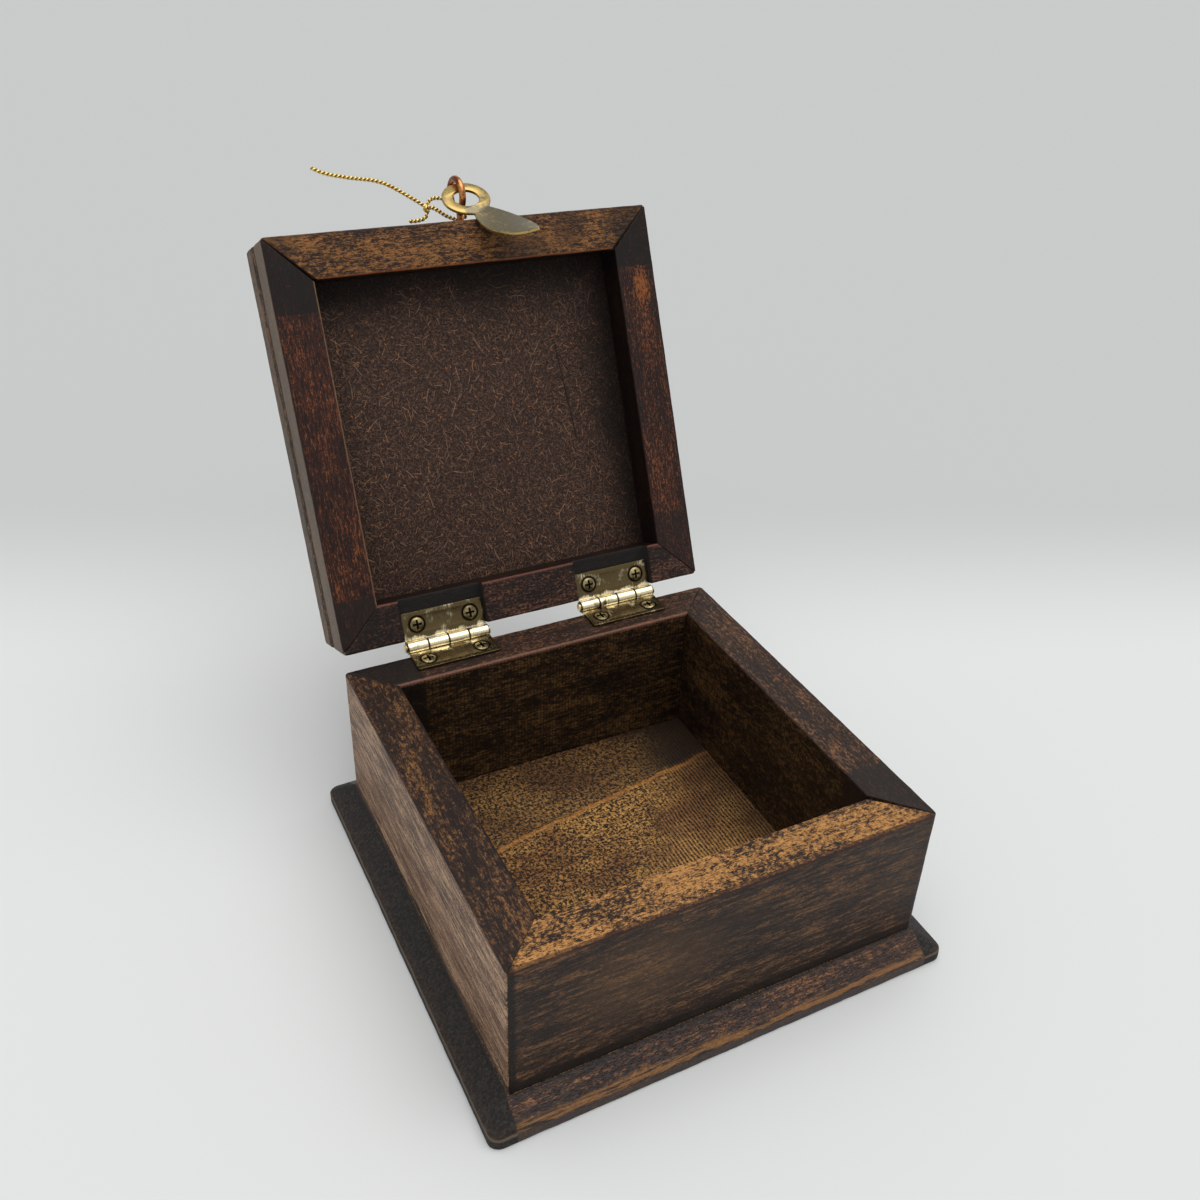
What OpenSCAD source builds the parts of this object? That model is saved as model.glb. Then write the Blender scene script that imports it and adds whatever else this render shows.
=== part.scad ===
// Small wooden keepsake box, shown with its lid open.
// X runs to the right, Y to the back and Z up. The origin is the middle of the
// plinth's underside. The lid's pieces are drawn as they lie when the lid is shut,
// and are then turned about the hinge line to the angle at which the lid stands.

/* [Box] */
// Width of the box over its side walls
box_w = 101; // [90:0.5:130]
// Depth of the box over its front and back walls
box_d = 101.5; // [90:0.5:130]
// Height of the four walls
wall_h = 35.4; // [25:0.1:60]
// Thickness of the four walls
wall_t = 10.5; // [9.5:0.1:14]
// Rounding of the upright corners of the box and of the lid
corner_r = 1; // [0.8:0.1:3]

/* [Plinth] */
// Thickness of the plinth board, whose top is the floor of the box
plinth_h = 6.9; // [5:0.1:12]
// How far the plinth stands out past the walls
plinth_out = 6; // [2:0.1:8]
// Height of the plinth's upright edge, below its bevel
plinth_edge_h = 2.9; // [2:0.1:4]
// Rounding of the plinth's upright corners
plinth_corner_r = 2.5; // [0.8:0.1:5]
// Rounding where the upright edge meets the bevel
plinth_nose_r = 0.8; // [0.3:0.1:1.2]
// Rounding of the plinth's lower edge
plinth_foot_r = 0.4; // [0.2:0.1:0.8]

/* [Lid] */
// Thickness of the lid's rails
lid_h = 20.2; // [18:0.1:30]
// Width of the lid's rails
lid_rail_w = 10.4; // [9.5:0.1:14]
// How far the lid is in from each side wall
lid_in_side = 1; // [0:0.1:2]
// How far the lid is in from the front wall
lid_in_front = 2.7; // [0:0.1:4]
// Gap between the shut lid and the rim
lid_gap = 0.25; // [0.1:0.05:0.5]
// Depth of the hollow inside the lid, down to its panel
lid_recess = 9.1; // [5:0.1:10]
// Thickness of the hardboard panel
panel_t = 3.2; // [2.4:0.1:4]
// Width of the step in the rails that the panel and the top board lie in
rebate_w = 4; // [3:0.1:5]
// Gap round the panel and the top board
board_fit = 0.1; // [0.05:0.05:0.3]
// Width of the groove round the lid's sides
groove_w = 4; // [2:0.1:6]
// Depth of the groove
groove_depth = 0.9; // [0.4:0.1:1.5]
// Height of the groove's middle above the lid's lower face
groove_up = 11.5; // [8:0.1:13]
// Angle at which the lid stands open
lid_open = 114; // [0:1:114]

/* [Hinges] */
// Length of a hinge along its pin
leaf_l = 21.4; // [18:0.1:26]
// Reach of a leaf from the pin's middle to its front edge
leaf_reach = 8.7; // [8:0.1:9.5]
// Thickness of a leaf
leaf_t = 0.7; // [0.6:0.05:1]
// Gap between the two leaves of a shut hinge
leaf_gap = 1; // [0.9:0.05:1.2]
// Radius of the knuckles
knuckle_r = 1.6; // [1.4:0.05:1.9]
// Gap between one knuckle and the next
knuckle_gap = 0.12; // [0.08:0.02:0.3]
// Gap between the knuckles and the back of the box
knuckle_off = 0.35; // [0.2:0.05:0.6]
// Radius of the hinge pin
pin_r = 0.7; // [0.5:0.05:0.8]
// Gap between the pin and the knuckles all round
pin_fit = 0.05; // [0.02:0.01:0.08]
// Radius of the pin's flattened ends
pin_end_r = 1; // [0.9:0.05:1.3]
// Thickness of the pin's flattened ends
pin_end_t = 0.4; // [0.3:0.1:0.8]
// Distance of the left hinge's end from the side of the box
hinge_in_left = 16.85; // [12:0.05:20]
// Distance of the right hinge's end from the side of the box
hinge_in_right = 15.1; // [12:0.05:20]
// Gap between a leaf's end and its slot in the lid
slot_fit = 0.3; // [0.1:0.05:0.8]

/* [Hinge screws] */
// Distance of the screws from the pin's middle
screw_back = 5.4; // [4.8:0.1:6]
// Distance of a screw from the middle of the leaf
screw_side = 7; // [5:0.1:7.5]
// Radius of the screw's head
screw_head_r = 1.95; // [1.7:0.05:2]
// Height of the head's dome above the leaf
screw_dome = 0.4; // [0.2:0.05:0.4]
// Radius of the screw's shank
screw_shank_r = 0.8; // [0.6:0.05:0.9]
// Length of the screw below the leaf's face
screw_l = 9.5; // [6:0.5:12]
// Length of the screw's point
screw_point = 1.6; // [1:0.1:3]
// Width of the arms of the cross slot
cross_w = 0.5; // [0.3:0.05:0.7]
// Length of the cross slot
cross_l = 2.3; // [1.4:0.1:2.8]
// Depth of the cross slot below the dome's top
cross_depth = 0.6; // [0.3:0.1:0.9]

/* [Screw eye] */
// Radius of the eye's wire
eye_wire_r = 0.85; // [0.7:0.05:0.9]
// Radius of the loop at the middle of the wire
eye_loop_r = 3.75; // [3.6:0.05:4.2]
// Distance of the loop's middle from the lid's front face
eye_out = 7.4; // [7:0.1:9]
// Height of the eye above the lid's lower face
eye_up = 9.1; // [8:0.1:9.5]
// Place of the eye from the middle of the lid, to the right
eye_x = 2; // [-5:0.5:5]
// Turn of the loop about its shank
eye_turn = -4; // [-6:0.5:0]
// Length of the shank inside the rail
eye_shank_l = 6; // [4:0.5:6]
// Length of the shank's point
eye_point = 2; // [1:0.5:3]

/* [Drop pull] */
// Thickness of the brass plate
pull_t = 0.8; // [0.5:0.05:0.9]
// Radius of the ring's outside
pull_ring_r = 6; // [5.5:0.1:6.2]
// Radius of the ring's hole
pull_hole_r = 3.25; // [3.2:0.05:3.5]
// Half the length of the leaf-shaped tongue
tongue_half_l = 11.2; // [10:0.1:12]
// Half the greatest width of the tongue
tongue_half_w = 4.7; // [4:0.1:5.5]
// Distance of the tongue's middle from the ring's middle
tongue_mid = 13.9; // [13:0.1:14.2]
// Radius to which the tongue is bent
tongue_bend_r = 32.2; // [32:0.5:60]
// Distance from the ring's middle at which the bend starts
tongue_bend_at = 5.3; // [4.8:0.1:5.6]
// Sideways lean of the hanging pull
pull_lean = 5; // [0:1:6]
// Angle through which the pull is tipped over when the lid stands open
pull_tip = 48; // [44:1:48]

/* [Thread] */
// Diameter of the metallic thread
thread_d = 0.9; // [0.6:0.1:0.9]
// Radius of the knot
knot_r = 1.1; // [0.8:0.1:1.2]

/* [Hidden] */
$fn = 64;

// How far a cutting shape runs past what it cuts
past = 1;
// Steps in each small rounding of the plinth's section
round_steps = 6;
// Sides of the thread's tube
thread_sides = 8;
knuckle_count = 4;

WALNUT = "#5b3a22";
DARK_WALNUT = "#45291a";
HARDBOARD = "#3a2a20";
BRASS = "#b08d4a";
COPPER = "#a5683a";
GOLD = "#d0a544";

rim_z = plinth_h + wall_h;
lid_z = rim_z + lid_gap;
lid_w = box_w - 2 * lid_in_side;
lid_d = box_d - lid_in_front;
// The lid is flush with the box at the back
lid_y = lid_in_front / 2;
lid_front_y = lid_y - lid_d / 2;
lid_back_y = lid_y + lid_d / 2;
opening_w = lid_w - 2 * lid_rail_w;
opening_d = lid_d - 2 * lid_rail_w;
top_board_t = lid_h - lid_recess - panel_t;

hinge_y = box_d / 2 + knuckle_off + knuckle_r;
hinge_z = rim_z + leaf_t + leaf_gap / 2;
slot_depth = hinge_z + leaf_gap / 2 + leaf_t - lid_z;
knuckle_l = (leaf_l - (knuckle_count - 1) * knuckle_gap) / knuckle_count;
left_hinge_x = -(box_w / 2 - hinge_in_left - leaf_l / 2);
right_hinge_x = box_w / 2 - hinge_in_right - leaf_l / 2;

// The line about which the pull tips, square to how it hangs and lies
tip_axis = [-0.93, 0.31, 0.22];
// The ring's middle from the loop's middle while the pull hangs
ring_hang = [-0.6, -1.9, -4.6];

// The thread's own route, as [to the right, out from the lid's front face,
// up from the lid's lower face]. It runs from the knot through the eye's loop
// and round the eye's neck, and its two ends stand free.
knot_at = [-6, 5, 10];
long_tail_route = [
    [-6.6, 5.6, 10.1], [-8, 6.7, 10.2], [-9.6, 7.9, 10.5], [-11.4, 9.3, 10.9],
    [-13.3, 10.7, 11.3], [-15.5, 11.9, 11.6], [-17.8, 12.7, 11.8],
    [-20.3, 13.2, 11.9], [-22.8, 13.6, 11.9], [-25.3, 14.1, 11.8],
    [-27.7, 14.6, 11.6], [-30, 15.3, 11.4], [-32.3, 16.4, 11.2]
];
loop_route = [
    [-5.6, 5.8, 10.1], [-4.9, 6.7, 10.3], [-3.8, 7.2, 10.4], [-2.2, 7.1, 10.3],
    [-0.7, 6.5, 10], [0.7, 5.6, 9.7], [2, 5, 9.4], [3.5, 4.7, 9.6],
    [4.4, 3.4, 10.2], [3.7, 2.1, 10.8], [2, 1.7, 10.9], [0.4, 2.2, 10.8],
    [-1.4, 3, 10.5], [-3, 4.1, 10.2], [-4.2, 4.8, 10], [-5.2, 5, 10]
];
short_tail_route = [
    [-6.1, 4.2, 9.9], [-6.5, 3.1, 9.8], [-7.5, 2.4, 9.7], [-9.1, 2.1, 9.7], [-11, 2.1, 9.6]
];

// A point of an arc
function on_circle(middle, r, angle) = middle + r * [cos(angle), sin(angle)];

// The plinth's right-hand outline from the floor to the top, for a given width
function plinth_side(width) =
    let (
        edge_x = width / 2 + plinth_out,
        rise = plinth_h - plinth_edge_h,
        bevel_turn = 90 - atan(rise / plinth_out),
        foot = [edge_x - plinth_foot_r, plinth_foot_r],
        nose = [
            edge_x - plinth_nose_r,
            plinth_edge_h - plinth_nose_r * tan(bevel_turn / 2)
        ]
    )
    concat(
        [for (i = [0:round_steps]) on_circle(foot, plinth_foot_r, -90 + 90 * i / round_steps)],
        [for (i = [0:round_steps]) on_circle(nose, plinth_nose_r, bevel_turn * i / round_steps)],
        [[width / 2, plinth_h]]
    );

// A board's outline from above, with rounded corners
module rounded_outline(width, depth, r) {
    square([width - 2 * r, depth], center = true);
    square([width, depth - 2 * r], center = true);
    for (x = [-1, 1], y = [-1, 1])
        translate([x * (width / 2 - r), y * (depth / 2 - r)])
            circle(r);
}

// One side of a mitred frame, lying along the front of it
module frame_side(width, depth, band, height) {
    linear_extrude(height)
        intersection() {
            rounded_outline(width, depth, corner_r);
            polygon([
                [-width / 2, -depth / 2],
                [width / 2, -depth / 2],
                [width / 2 - band, -depth / 2 + band],
                [-width / 2 + band, -depth / 2 + band]
            ]);
        }
}

// The plinth's section, stood up along Y
module plinth_length(width, along) {
    right = plinth_side(width);
    left = [for (i = [len(right) - 1:-1:0]) [-right[i].x, right[i].y]];
    rotate([90, 0, 0])
        linear_extrude(along, center = true)
            polygon(concat(right, left));
}

module plinth_board() {
    outer_w = box_w + 2 * plinth_out;
    outer_d = box_d + 2 * plinth_out;
    color(DARK_WALNUT)
        intersection() {
            plinth_length(box_w, outer_d);
            rotate([0, 0, 90])
                plinth_length(box_d, outer_w);
            linear_extrude(plinth_h)
                rounded_outline(outer_w, outer_d, plinth_corner_r);
        }
}

// A wall of the box, drawn as its front one
module box_wall(width, depth) {
    translate([0, 0, plinth_h])
        frame_side(width, depth, wall_t, wall_h);
}

module front_wall() {
    color(WALNUT)
        box_wall(box_w, box_d);
}

module back_wall() {
    color(WALNUT)
        difference() {
            rotate([0, 0, 180])
                box_wall(box_w, box_d);
            for (hinge_x = [left_hinge_x, right_hinge_x])
                body_screws(hinge_x);
        }
}

module left_wall() {
    color(WALNUT)
        rotate([0, 0, -90])
            box_wall(box_d, box_w);
}

module right_wall() {
    color(WALNUT)
        rotate([0, 0, 90])
            box_wall(box_d, box_w);
}

// Turns what is drawn on the shut lid to the angle at which the lid stands
module on_open_lid() {
    translate([0, hinge_y, hinge_z])
        rotate([-lid_open, 0, 0])
            translate([0, -hinge_y, -hinge_z])
                children();
}

// A rail of the shut lid, drawn as its front one, with its groove and its step
module lid_rail(width, depth) {
    cove_r = (pow(groove_w / 2, 2) + pow(groove_depth, 2)) / (2 * groove_depth);
    step_w = width - 2 * lid_rail_w + 2 * rebate_w;
    step_d = depth - 2 * lid_rail_w + 2 * rebate_w;
    difference() {
        frame_side(width, depth, lid_rail_w, lid_h);
        translate([0, -depth / 2 + groove_depth - cove_r, groove_up])
            rotate([0, 90, 0])
                cylinder(h = width + 2 * past, r = cove_r, center = true);
        translate([-step_w / 2, -step_d / 2, lid_recess])
            cube([step_w, step_d, lid_h]);
    }
}

// Places what is drawn about the middle of the shut lid's lower face
module at_lid() {
    translate([0, lid_y, lid_z])
        children();
}

module lid_front_rail() {
    color(WALNUT)
        on_open_lid()
            difference() {
                at_lid()
                    lid_rail(lid_w, lid_d);
                at_eye()
                    eye_shank();
            }
}

module lid_back_rail() {
    slot_w = leaf_l + 2 * slot_fit;
    color(DARK_WALNUT)
        on_open_lid()
            difference() {
                at_lid()
                    rotate([0, 0, 180])
                        lid_rail(lid_w, lid_d);
                for (hinge_x = [left_hinge_x, right_hinge_x]) {
                    translate([hinge_x - slot_w / 2, lid_back_y - lid_rail_w - past, lid_z - past])
                        cube([slot_w, lid_rail_w + 2 * past, slot_depth + past]);
                    lid_screws(hinge_x);
                }
            }
}

module lid_left_rail() {
    color(WALNUT)
        on_open_lid()
            at_lid()
                rotate([0, 0, -90])
                    lid_rail(lid_d, lid_w);
}

module lid_right_rail() {
    color(WALNUT)
        on_open_lid()
            at_lid()
                rotate([0, 0, 90])
                    lid_rail(lid_d, lid_w);
}

// A board that lies in the step of the lid's rails
module lid_board(up, thick) {
    board_w = opening_w + 2 * rebate_w - 2 * board_fit;
    board_d = opening_d + 2 * rebate_w - 2 * board_fit;
    on_open_lid()
        at_lid()
            translate([-board_w / 2, -board_d / 2, up])
                cube([board_w, board_d, thick]);
}

module lid_panel() {
    color(HARDBOARD)
        lid_board(lid_recess, panel_t);
}

module lid_top_board() {
    color(DARK_WALNUT)
        lid_board(lid_recess + panel_t, top_board_t);
}

// Start of a knuckle along the pin, counted from the hinge's left end
function knuckle_x(i) = -leaf_l / 2 + i * (knuckle_l + knuckle_gap);

module along_pin(start, length, r) {
    translate([start, 0, 0])
        rotate([0, 90, 0])
            cylinder(h = length, r = r);
}

// A leaf below its pin, with every second knuckle from the first one given.
// The pin's middle is the origin.
module hinge_leaf(first) {
    notch_y = knuckle_r + knuckle_gap;
    difference() {
        union() {
            translate([-leaf_l / 2, -leaf_reach, -leaf_gap / 2 - leaf_t])
                cube([leaf_l, leaf_reach, leaf_t]);
            for (i = [first:2:knuckle_count - 1])
                along_pin(knuckle_x(i), knuckle_l, knuckle_r);
        }
        for (i = [1 - first:2:knuckle_count - 1])
            translate([knuckle_x(i) - knuckle_gap, -notch_y, -knuckle_r - past])
                cube([knuckle_l + 2 * knuckle_gap, notch_y + past, 2 * knuckle_r + 2 * past]);
        along_pin(-leaf_l / 2 - past, leaf_l + 2 * past, pin_r + pin_fit);
        for (x = [-screw_side, screw_side])
            translate([x, -screw_back, -leaf_gap / 2])
                screw_shape();
    }
}

module body_leaf(hinge_x, first) {
    translate([hinge_x, hinge_y, hinge_z])
        hinge_leaf(first);
}

module lid_leaf(hinge_x, first) {
    translate([hinge_x, hinge_y, hinge_z])
        mirror([0, 0, 1])
            hinge_leaf(first);
}

// A pin whose flattened end lies on the box's own last knuckle
module hinge_pin(hinge_x, body_side) {
    start = -leaf_l / 2 - (body_side > 0 ? knuckle_gap : 0);
    shank_l = leaf_l + knuckle_gap;
    translate([hinge_x, hinge_y, hinge_z]) {
        along_pin(start - pin_end_t, pin_end_t, pin_end_r);
        along_pin(start, shank_l, pin_r);
        along_pin(start + shank_l, pin_end_t, pin_end_r);
    }
}

// A screw from its head's rim downward, without its dome
module screw_shape() {
    cone_l = screw_head_r - screw_shank_r;
    rotate_extrude()
        polygon([
            [0, 0],
            [screw_head_r, 0],
            [screw_shank_r, -cone_l],
            [screw_shank_r, -screw_l + screw_point],
            [0, -screw_l]
        ]);
}

module screw() {
    dome_r = (pow(screw_head_r, 2) + pow(screw_dome, 2)) / (2 * screw_dome);
    difference() {
        union() {
            screw_shape();
            intersection() {
                translate([0, 0, screw_dome - dome_r])
                    sphere(dome_r);
                cylinder(h = screw_dome + past, r = screw_head_r);
            }
        }
        for (turn = [0, 90])
            rotate([0, 0, turn])
                translate([-cross_l / 2, -cross_w / 2, screw_dome - cross_depth])
                    cube([cross_l, cross_w, cross_depth + past]);
    }
}

// Places a hinge's two screws below its pin
module screw_places(hinge_x) {
    for (x = [-screw_side, screw_side])
        translate([hinge_x + x, hinge_y - screw_back, hinge_z - leaf_gap / 2])
            children();
}

module body_screws(hinge_x) {
    screw_places(hinge_x)
        screw();
}

module lid_screws(hinge_x) {
    translate([0, 0, 2 * hinge_z])
        mirror([0, 0, 1])
            screw_places(hinge_x)
                screw();
}

module left_hinge_body_leaf() {
    color(BRASS)
        body_leaf(left_hinge_x, 1);
}

module left_hinge_lid_leaf() {
    color(BRASS)
        on_open_lid()
            lid_leaf(left_hinge_x, 0);
}

module left_hinge_pin() {
    color(BRASS)
        hinge_pin(left_hinge_x, 1);
}

module left_hinge_body_screws() {
    color(BRASS)
        body_screws(left_hinge_x);
}

module left_hinge_lid_screws() {
    color(BRASS)
        on_open_lid()
            lid_screws(left_hinge_x);
}

module right_hinge_body_leaf() {
    color(BRASS)
        body_leaf(right_hinge_x, 0);
}

module right_hinge_lid_leaf() {
    color(BRASS)
        on_open_lid()
            lid_leaf(right_hinge_x, 1);
}

module right_hinge_pin() {
    color(BRASS)
        hinge_pin(right_hinge_x, -1);
}

module right_hinge_body_screws() {
    color(BRASS)
        body_screws(right_hinge_x);
}

module right_hinge_lid_screws() {
    color(BRASS)
        on_open_lid()
            lid_screws(right_hinge_x);
}

// Places what is drawn about the eye's foot on the lid's front face
module at_eye() {
    translate([eye_x, lid_front_y, lid_z + eye_up])
        children();
}

// The eye's shank, from the front face into the rail
module eye_shank() {
    rotate([-90, 0, 0])
        rotate_extrude()
            polygon([
                [0, 0],
                [eye_wire_r, 0],
                [eye_wire_r, eye_shank_l - eye_point],
                [0, eye_shank_l]
            ]);
}

module screw_eye() {
    color(COPPER)
        on_open_lid()
            at_eye() {
                eye_shank();
                rotate([90, 0, 0])
                    cylinder(h = eye_out - eye_loop_r, r = eye_wire_r);
                translate([0, -eye_out, 0])
                    rotate([0, 90 + eye_turn, 0])
                        rotate_extrude()
                            translate([eye_loop_r, 0])
                                circle(eye_wire_r);
            }
}

// The stamped plate seen from its face, with its tongue along Y
module pull_outline() {
    side_r = (pow(tongue_half_l, 2) + pow(tongue_half_w, 2)) / (2 * tongue_half_w);
    difference() {
        union() {
            circle(pull_ring_r);
            translate([0, tongue_mid])
                intersection() {
                    translate([side_r - tongue_half_w, 0])
                        circle(side_r);
                    translate([tongue_half_w - side_r, 0])
                        circle(side_r);
                }
        }
        circle(pull_hole_r);
    }
}

// The plate, flat at its ring and bent forward along its tongue
module pull_plate() {
    tip = tongue_mid + tongue_half_l;
    wide = 2 * pull_ring_r + 2 * past;
    intersection() {
        translate([0, 0, -pull_t])
            linear_extrude(tip)
                pull_outline();
        union() {
            translate([-wide / 2, -pull_ring_r - past, -pull_t / 2])
                cube([wide, pull_ring_r + past + tongue_bend_at, pull_t]);
            intersection() {
                translate([0, tongue_bend_at, tongue_bend_r])
                    rotate([0, 90, 0])
                        difference() {
                            cylinder(h = wide, r = tongue_bend_r + pull_t / 2, center = true);
                            cylinder(h = wide + past, r = tongue_bend_r - pull_t / 2, center = true);
                        }
                translate([-wide / 2, tongue_bend_at, -pull_t])
                    cube([wide, tip, tip]);
            }
        }
    }
}

module drop_pull() {
    color(BRASS)
        on_open_lid()
            at_eye()
                translate([0, -eye_out, 0])
                    rotate(a = -pull_tip, v = tip_axis)
                        translate(ring_hang)
                            rotate([0, -pull_lean, 0])
                                rotate([90, 0, 0])
                                    rotate([0, 0, 180])
                                        pull_plate();
}

function unit(v) = v / norm(v);

// Way of the route at one of its points
function heading(route, i) =
    unit(route[min(i + 1, len(route) - 1)] - route[max(i - 1, 0)]);

// What is left of a direction once its part along the way is taken off
function square_to(way, direction) = unit(direction - (direction * way) * way);

// A side direction for each ring, carried along so that the tube isn't twisted
function carried(route, i, before) =
    let (side = square_to(heading(route, i), before))
    i == len(route) - 1 ? [side] : concat([side], carried(route, i + 1, side));

// Ring corners for every point of the route, in order
function rings(route, r) =
    let (sides = carried(route, 0, [0, 0, 1]))
    [
        for (i = [0:len(route) - 1])
            for (k = [0:thread_sides - 1])
                let (turn = 360 * k / thread_sides)
                route[i] + r * (
                    cos(turn) * sides[i] + sin(turn) * cross(heading(route, i), sides[i])
                )
    ];

// A tube along a route, closed at its ends
module thread_tube(route) {
    last = len(route) - 1;
    polyhedron(
        points = rings(route, thread_d / 2),
        faces = concat(
            [[for (k = [0:thread_sides - 1]) k]],
            [
                for (i = [0:last - 1])
                    for (k = [0:thread_sides - 1])
                        [
                            i * thread_sides + k,
                            (i + 1) * thread_sides + k,
                            (i + 1) * thread_sides + (k + 1) % thread_sides,
                            i * thread_sides + (k + 1) % thread_sides
                        ]
            ],
            [[for (k = [thread_sides - 1:-1:0]) last * thread_sides + k]]
        )
    );
}

// Turns a route point into a place on the shut lid
function on_front(p) = [p.x, -p.y, p.z];

module at_lid_front() {
    translate([0, lid_front_y, lid_z])
        children();
}

module thread_stretch(route) {
    color(GOLD)
        on_open_lid()
            at_lid_front()
                thread_tube([for (p = route) on_front(p)]);
}

module thread_long_tail() {
    thread_stretch(long_tail_route);
}

module thread_loop() {
    thread_stretch(loop_route);
}

module thread_short_tail() {
    thread_stretch(short_tail_route);
}

module thread_knot() {
    color(GOLD)
        on_open_lid()
            at_lid_front()
                translate(on_front(knot_at))
                    sphere(knot_r);
}

plinth_board();
front_wall();
back_wall();
left_wall();
right_wall();
lid_front_rail();
lid_back_rail();
lid_left_rail();
lid_right_rail();
lid_panel();
lid_top_board();
left_hinge_body_leaf();
left_hinge_lid_leaf();
left_hinge_pin();
left_hinge_body_screws();
left_hinge_lid_screws();
right_hinge_body_leaf();
right_hinge_lid_leaf();
right_hinge_pin();
right_hinge_body_screws();
right_hinge_lid_screws();
screw_eye();
drop_pull();
thread_long_tail();
thread_loop();
thread_knot();
thread_short_tail();
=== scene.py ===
# %% [markdown]
# # A stained wooden keepsake box
# The box stands open: a mitred square box on a bevelled plinth, with a framed lid on two small
# brass hinges. A copper screw eye holds a brass drop pull and a gold thread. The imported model
# gives every piece its size and place, and this lesson gives each one its finish. Blender's noise
# for vectors starts from the clock unless it has a seed, so it gets one before anything is made.

# %% The frame
import math

import bmesh
import bpy
import numpy as np
from mathutils import Matrix, Vector, noise


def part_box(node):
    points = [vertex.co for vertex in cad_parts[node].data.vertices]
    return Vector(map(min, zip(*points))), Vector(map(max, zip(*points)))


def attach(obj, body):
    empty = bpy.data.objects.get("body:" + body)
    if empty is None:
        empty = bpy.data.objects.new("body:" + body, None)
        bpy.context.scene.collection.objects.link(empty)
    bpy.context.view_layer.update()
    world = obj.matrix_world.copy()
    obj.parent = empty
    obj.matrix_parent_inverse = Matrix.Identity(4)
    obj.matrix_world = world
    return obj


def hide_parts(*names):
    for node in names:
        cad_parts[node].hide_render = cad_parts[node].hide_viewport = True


NOISE_SEED = 4

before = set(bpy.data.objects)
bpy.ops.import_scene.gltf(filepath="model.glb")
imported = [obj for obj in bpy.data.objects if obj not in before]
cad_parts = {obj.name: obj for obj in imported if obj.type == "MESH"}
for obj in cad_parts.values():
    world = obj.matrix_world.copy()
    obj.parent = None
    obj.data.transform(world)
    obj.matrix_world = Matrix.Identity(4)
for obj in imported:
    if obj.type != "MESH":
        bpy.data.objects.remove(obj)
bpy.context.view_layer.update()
noise.seed_set(NOISE_SEED)

# %% [markdown]
# ## Sizes that the pieces share
# The walls and rails are drawn lying along the front of a mitred frame and turned to their sides.
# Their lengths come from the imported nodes. The few sizes that a box of corners can't tell, such as
# a rail's groove, are written here in millimetres, and MM turns them into metres.

# %% Sizes
MM = 0.001


def corners(node):
    low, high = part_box(node)
    return np.array(low) / MM, np.array(high) / MM


front_low, front_high = corners("front_wall")
BOX_W = front_high[0] - front_low[0]
BOX_D = corners("back_wall")[1][1] - front_low[1]
PLINTH_TOP, RIM_Z = front_low[2], front_high[2]
WALL_T = front_high[1] - front_low[1]
CORNER_R = 1.0
PIN_OUT, PIN_UP = 1.95, 1.2
HINGE = np.array([0, BOX_D / 2 + PIN_OUT, RIM_Z + PIN_UP])
LID_OPEN = 114
LID_W, LID_D, LID_H = 99.0, 98.8, 20.2
LID_GAP = 0.25
LID_Y, LID_Z = (BOX_D - LID_D) / 2, RIM_Z + LID_GAP
LID_FRONT_Y = LID_Y - LID_D / 2
RAIL_W = 10.4
RECESS = 9.1
STEP_W = 4.0
PANEL_T = 3.2
GROOVE_W, GROOVE_DEPTH, GROOVE_UP = 4.0, 0.9, 11.5
print("box", BOX_W, BOX_D, "plinth top", PLINTH_TOP, "rim", RIM_Z)

# %% [markdown]
# ## The camera
# The photograph looks down on the open box from its front left corner. The lens, the place and the
# small tilt of the camera were found by fitting the box's own corners, so the camera is written as
# a place, three angles and a focal length. It comes first, because the thread is checked against it.

# %% Camera
CAMERA_AT = Vector((-105.274683, -188.111947, 216.980998)) * MM
CAMERA_YAW, CAMERA_PITCH, CAMERA_ROLL = 0.521583546, -0.567391132, 0.0593320037
IMAGE = 1200
FOCAL_PIXELS = 1202.09307
LENS_MIDDLE = (642.778776, 602.901694)


def camera_axes():
    right = Vector((math.cos(CAMERA_YAW), -math.sin(CAMERA_YAW), 0))
    level = Vector((math.sin(CAMERA_YAW), math.cos(CAMERA_YAW), 0))
    ahead = level * math.cos(CAMERA_PITCH) + Vector((0, 0, math.sin(CAMERA_PITCH)))
    up = right.cross(ahead)
    turn, lean = math.cos(CAMERA_ROLL), math.sin(CAMERA_ROLL)
    return right * turn + up * lean, up * turn - right * lean, -ahead


camera = bpy.data.objects.new("camera", bpy.data.cameras.new("camera"))
bpy.context.scene.collection.objects.link(camera)
camera.matrix_world = Matrix.Translation(CAMERA_AT) @ Matrix(camera_axes()).transposed().to_4x4()
camera.data.sensor_width = 36
camera.data.lens = 36 * FOCAL_PIXELS / IMAGE
camera.data.shift_x = (IMAGE / 2 - LENS_MIDDLE[0]) / IMAGE
camera.data.shift_y = (LENS_MIDDLE[1] - IMAGE / 2) / IMAGE
camera.data.clip_start = 0.01
bpy.context.scene.camera = camera
print("lens", round(camera.data.lens, 2), "mm")

# %% [markdown]
# ## From the shut lid to the open one
# Everything on the lid is drawn as it lies when the lid is shut, because its rails are then square
# to the axes. One matrix turns it about the hinge pins to where the lid stands.

# %% Lid placing
to_open_lid = (
    Matrix.Translation(Vector(HINGE) * MM)
    @ Matrix.Rotation(math.radians(-LID_OPEN), 4, "X")
    @ Matrix.Translation(-Vector(HINGE) * MM)
)


def on_open_lid(point):
    """A point of the shut lid, in millimetres, to its place on the open lid, in metres."""
    return to_open_lid @ (Vector(point) * MM)


def off_front(route_point):
    """A route point, counted right, out and up from the lid's front face, to the open lid."""
    along, out, up = route_point
    return on_open_lid((along, LID_FRONT_Y - out, LID_Z + up))


print("lid's front edge stands at", [round(v, 4) for v in off_front((0, 0, 0))])

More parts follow.
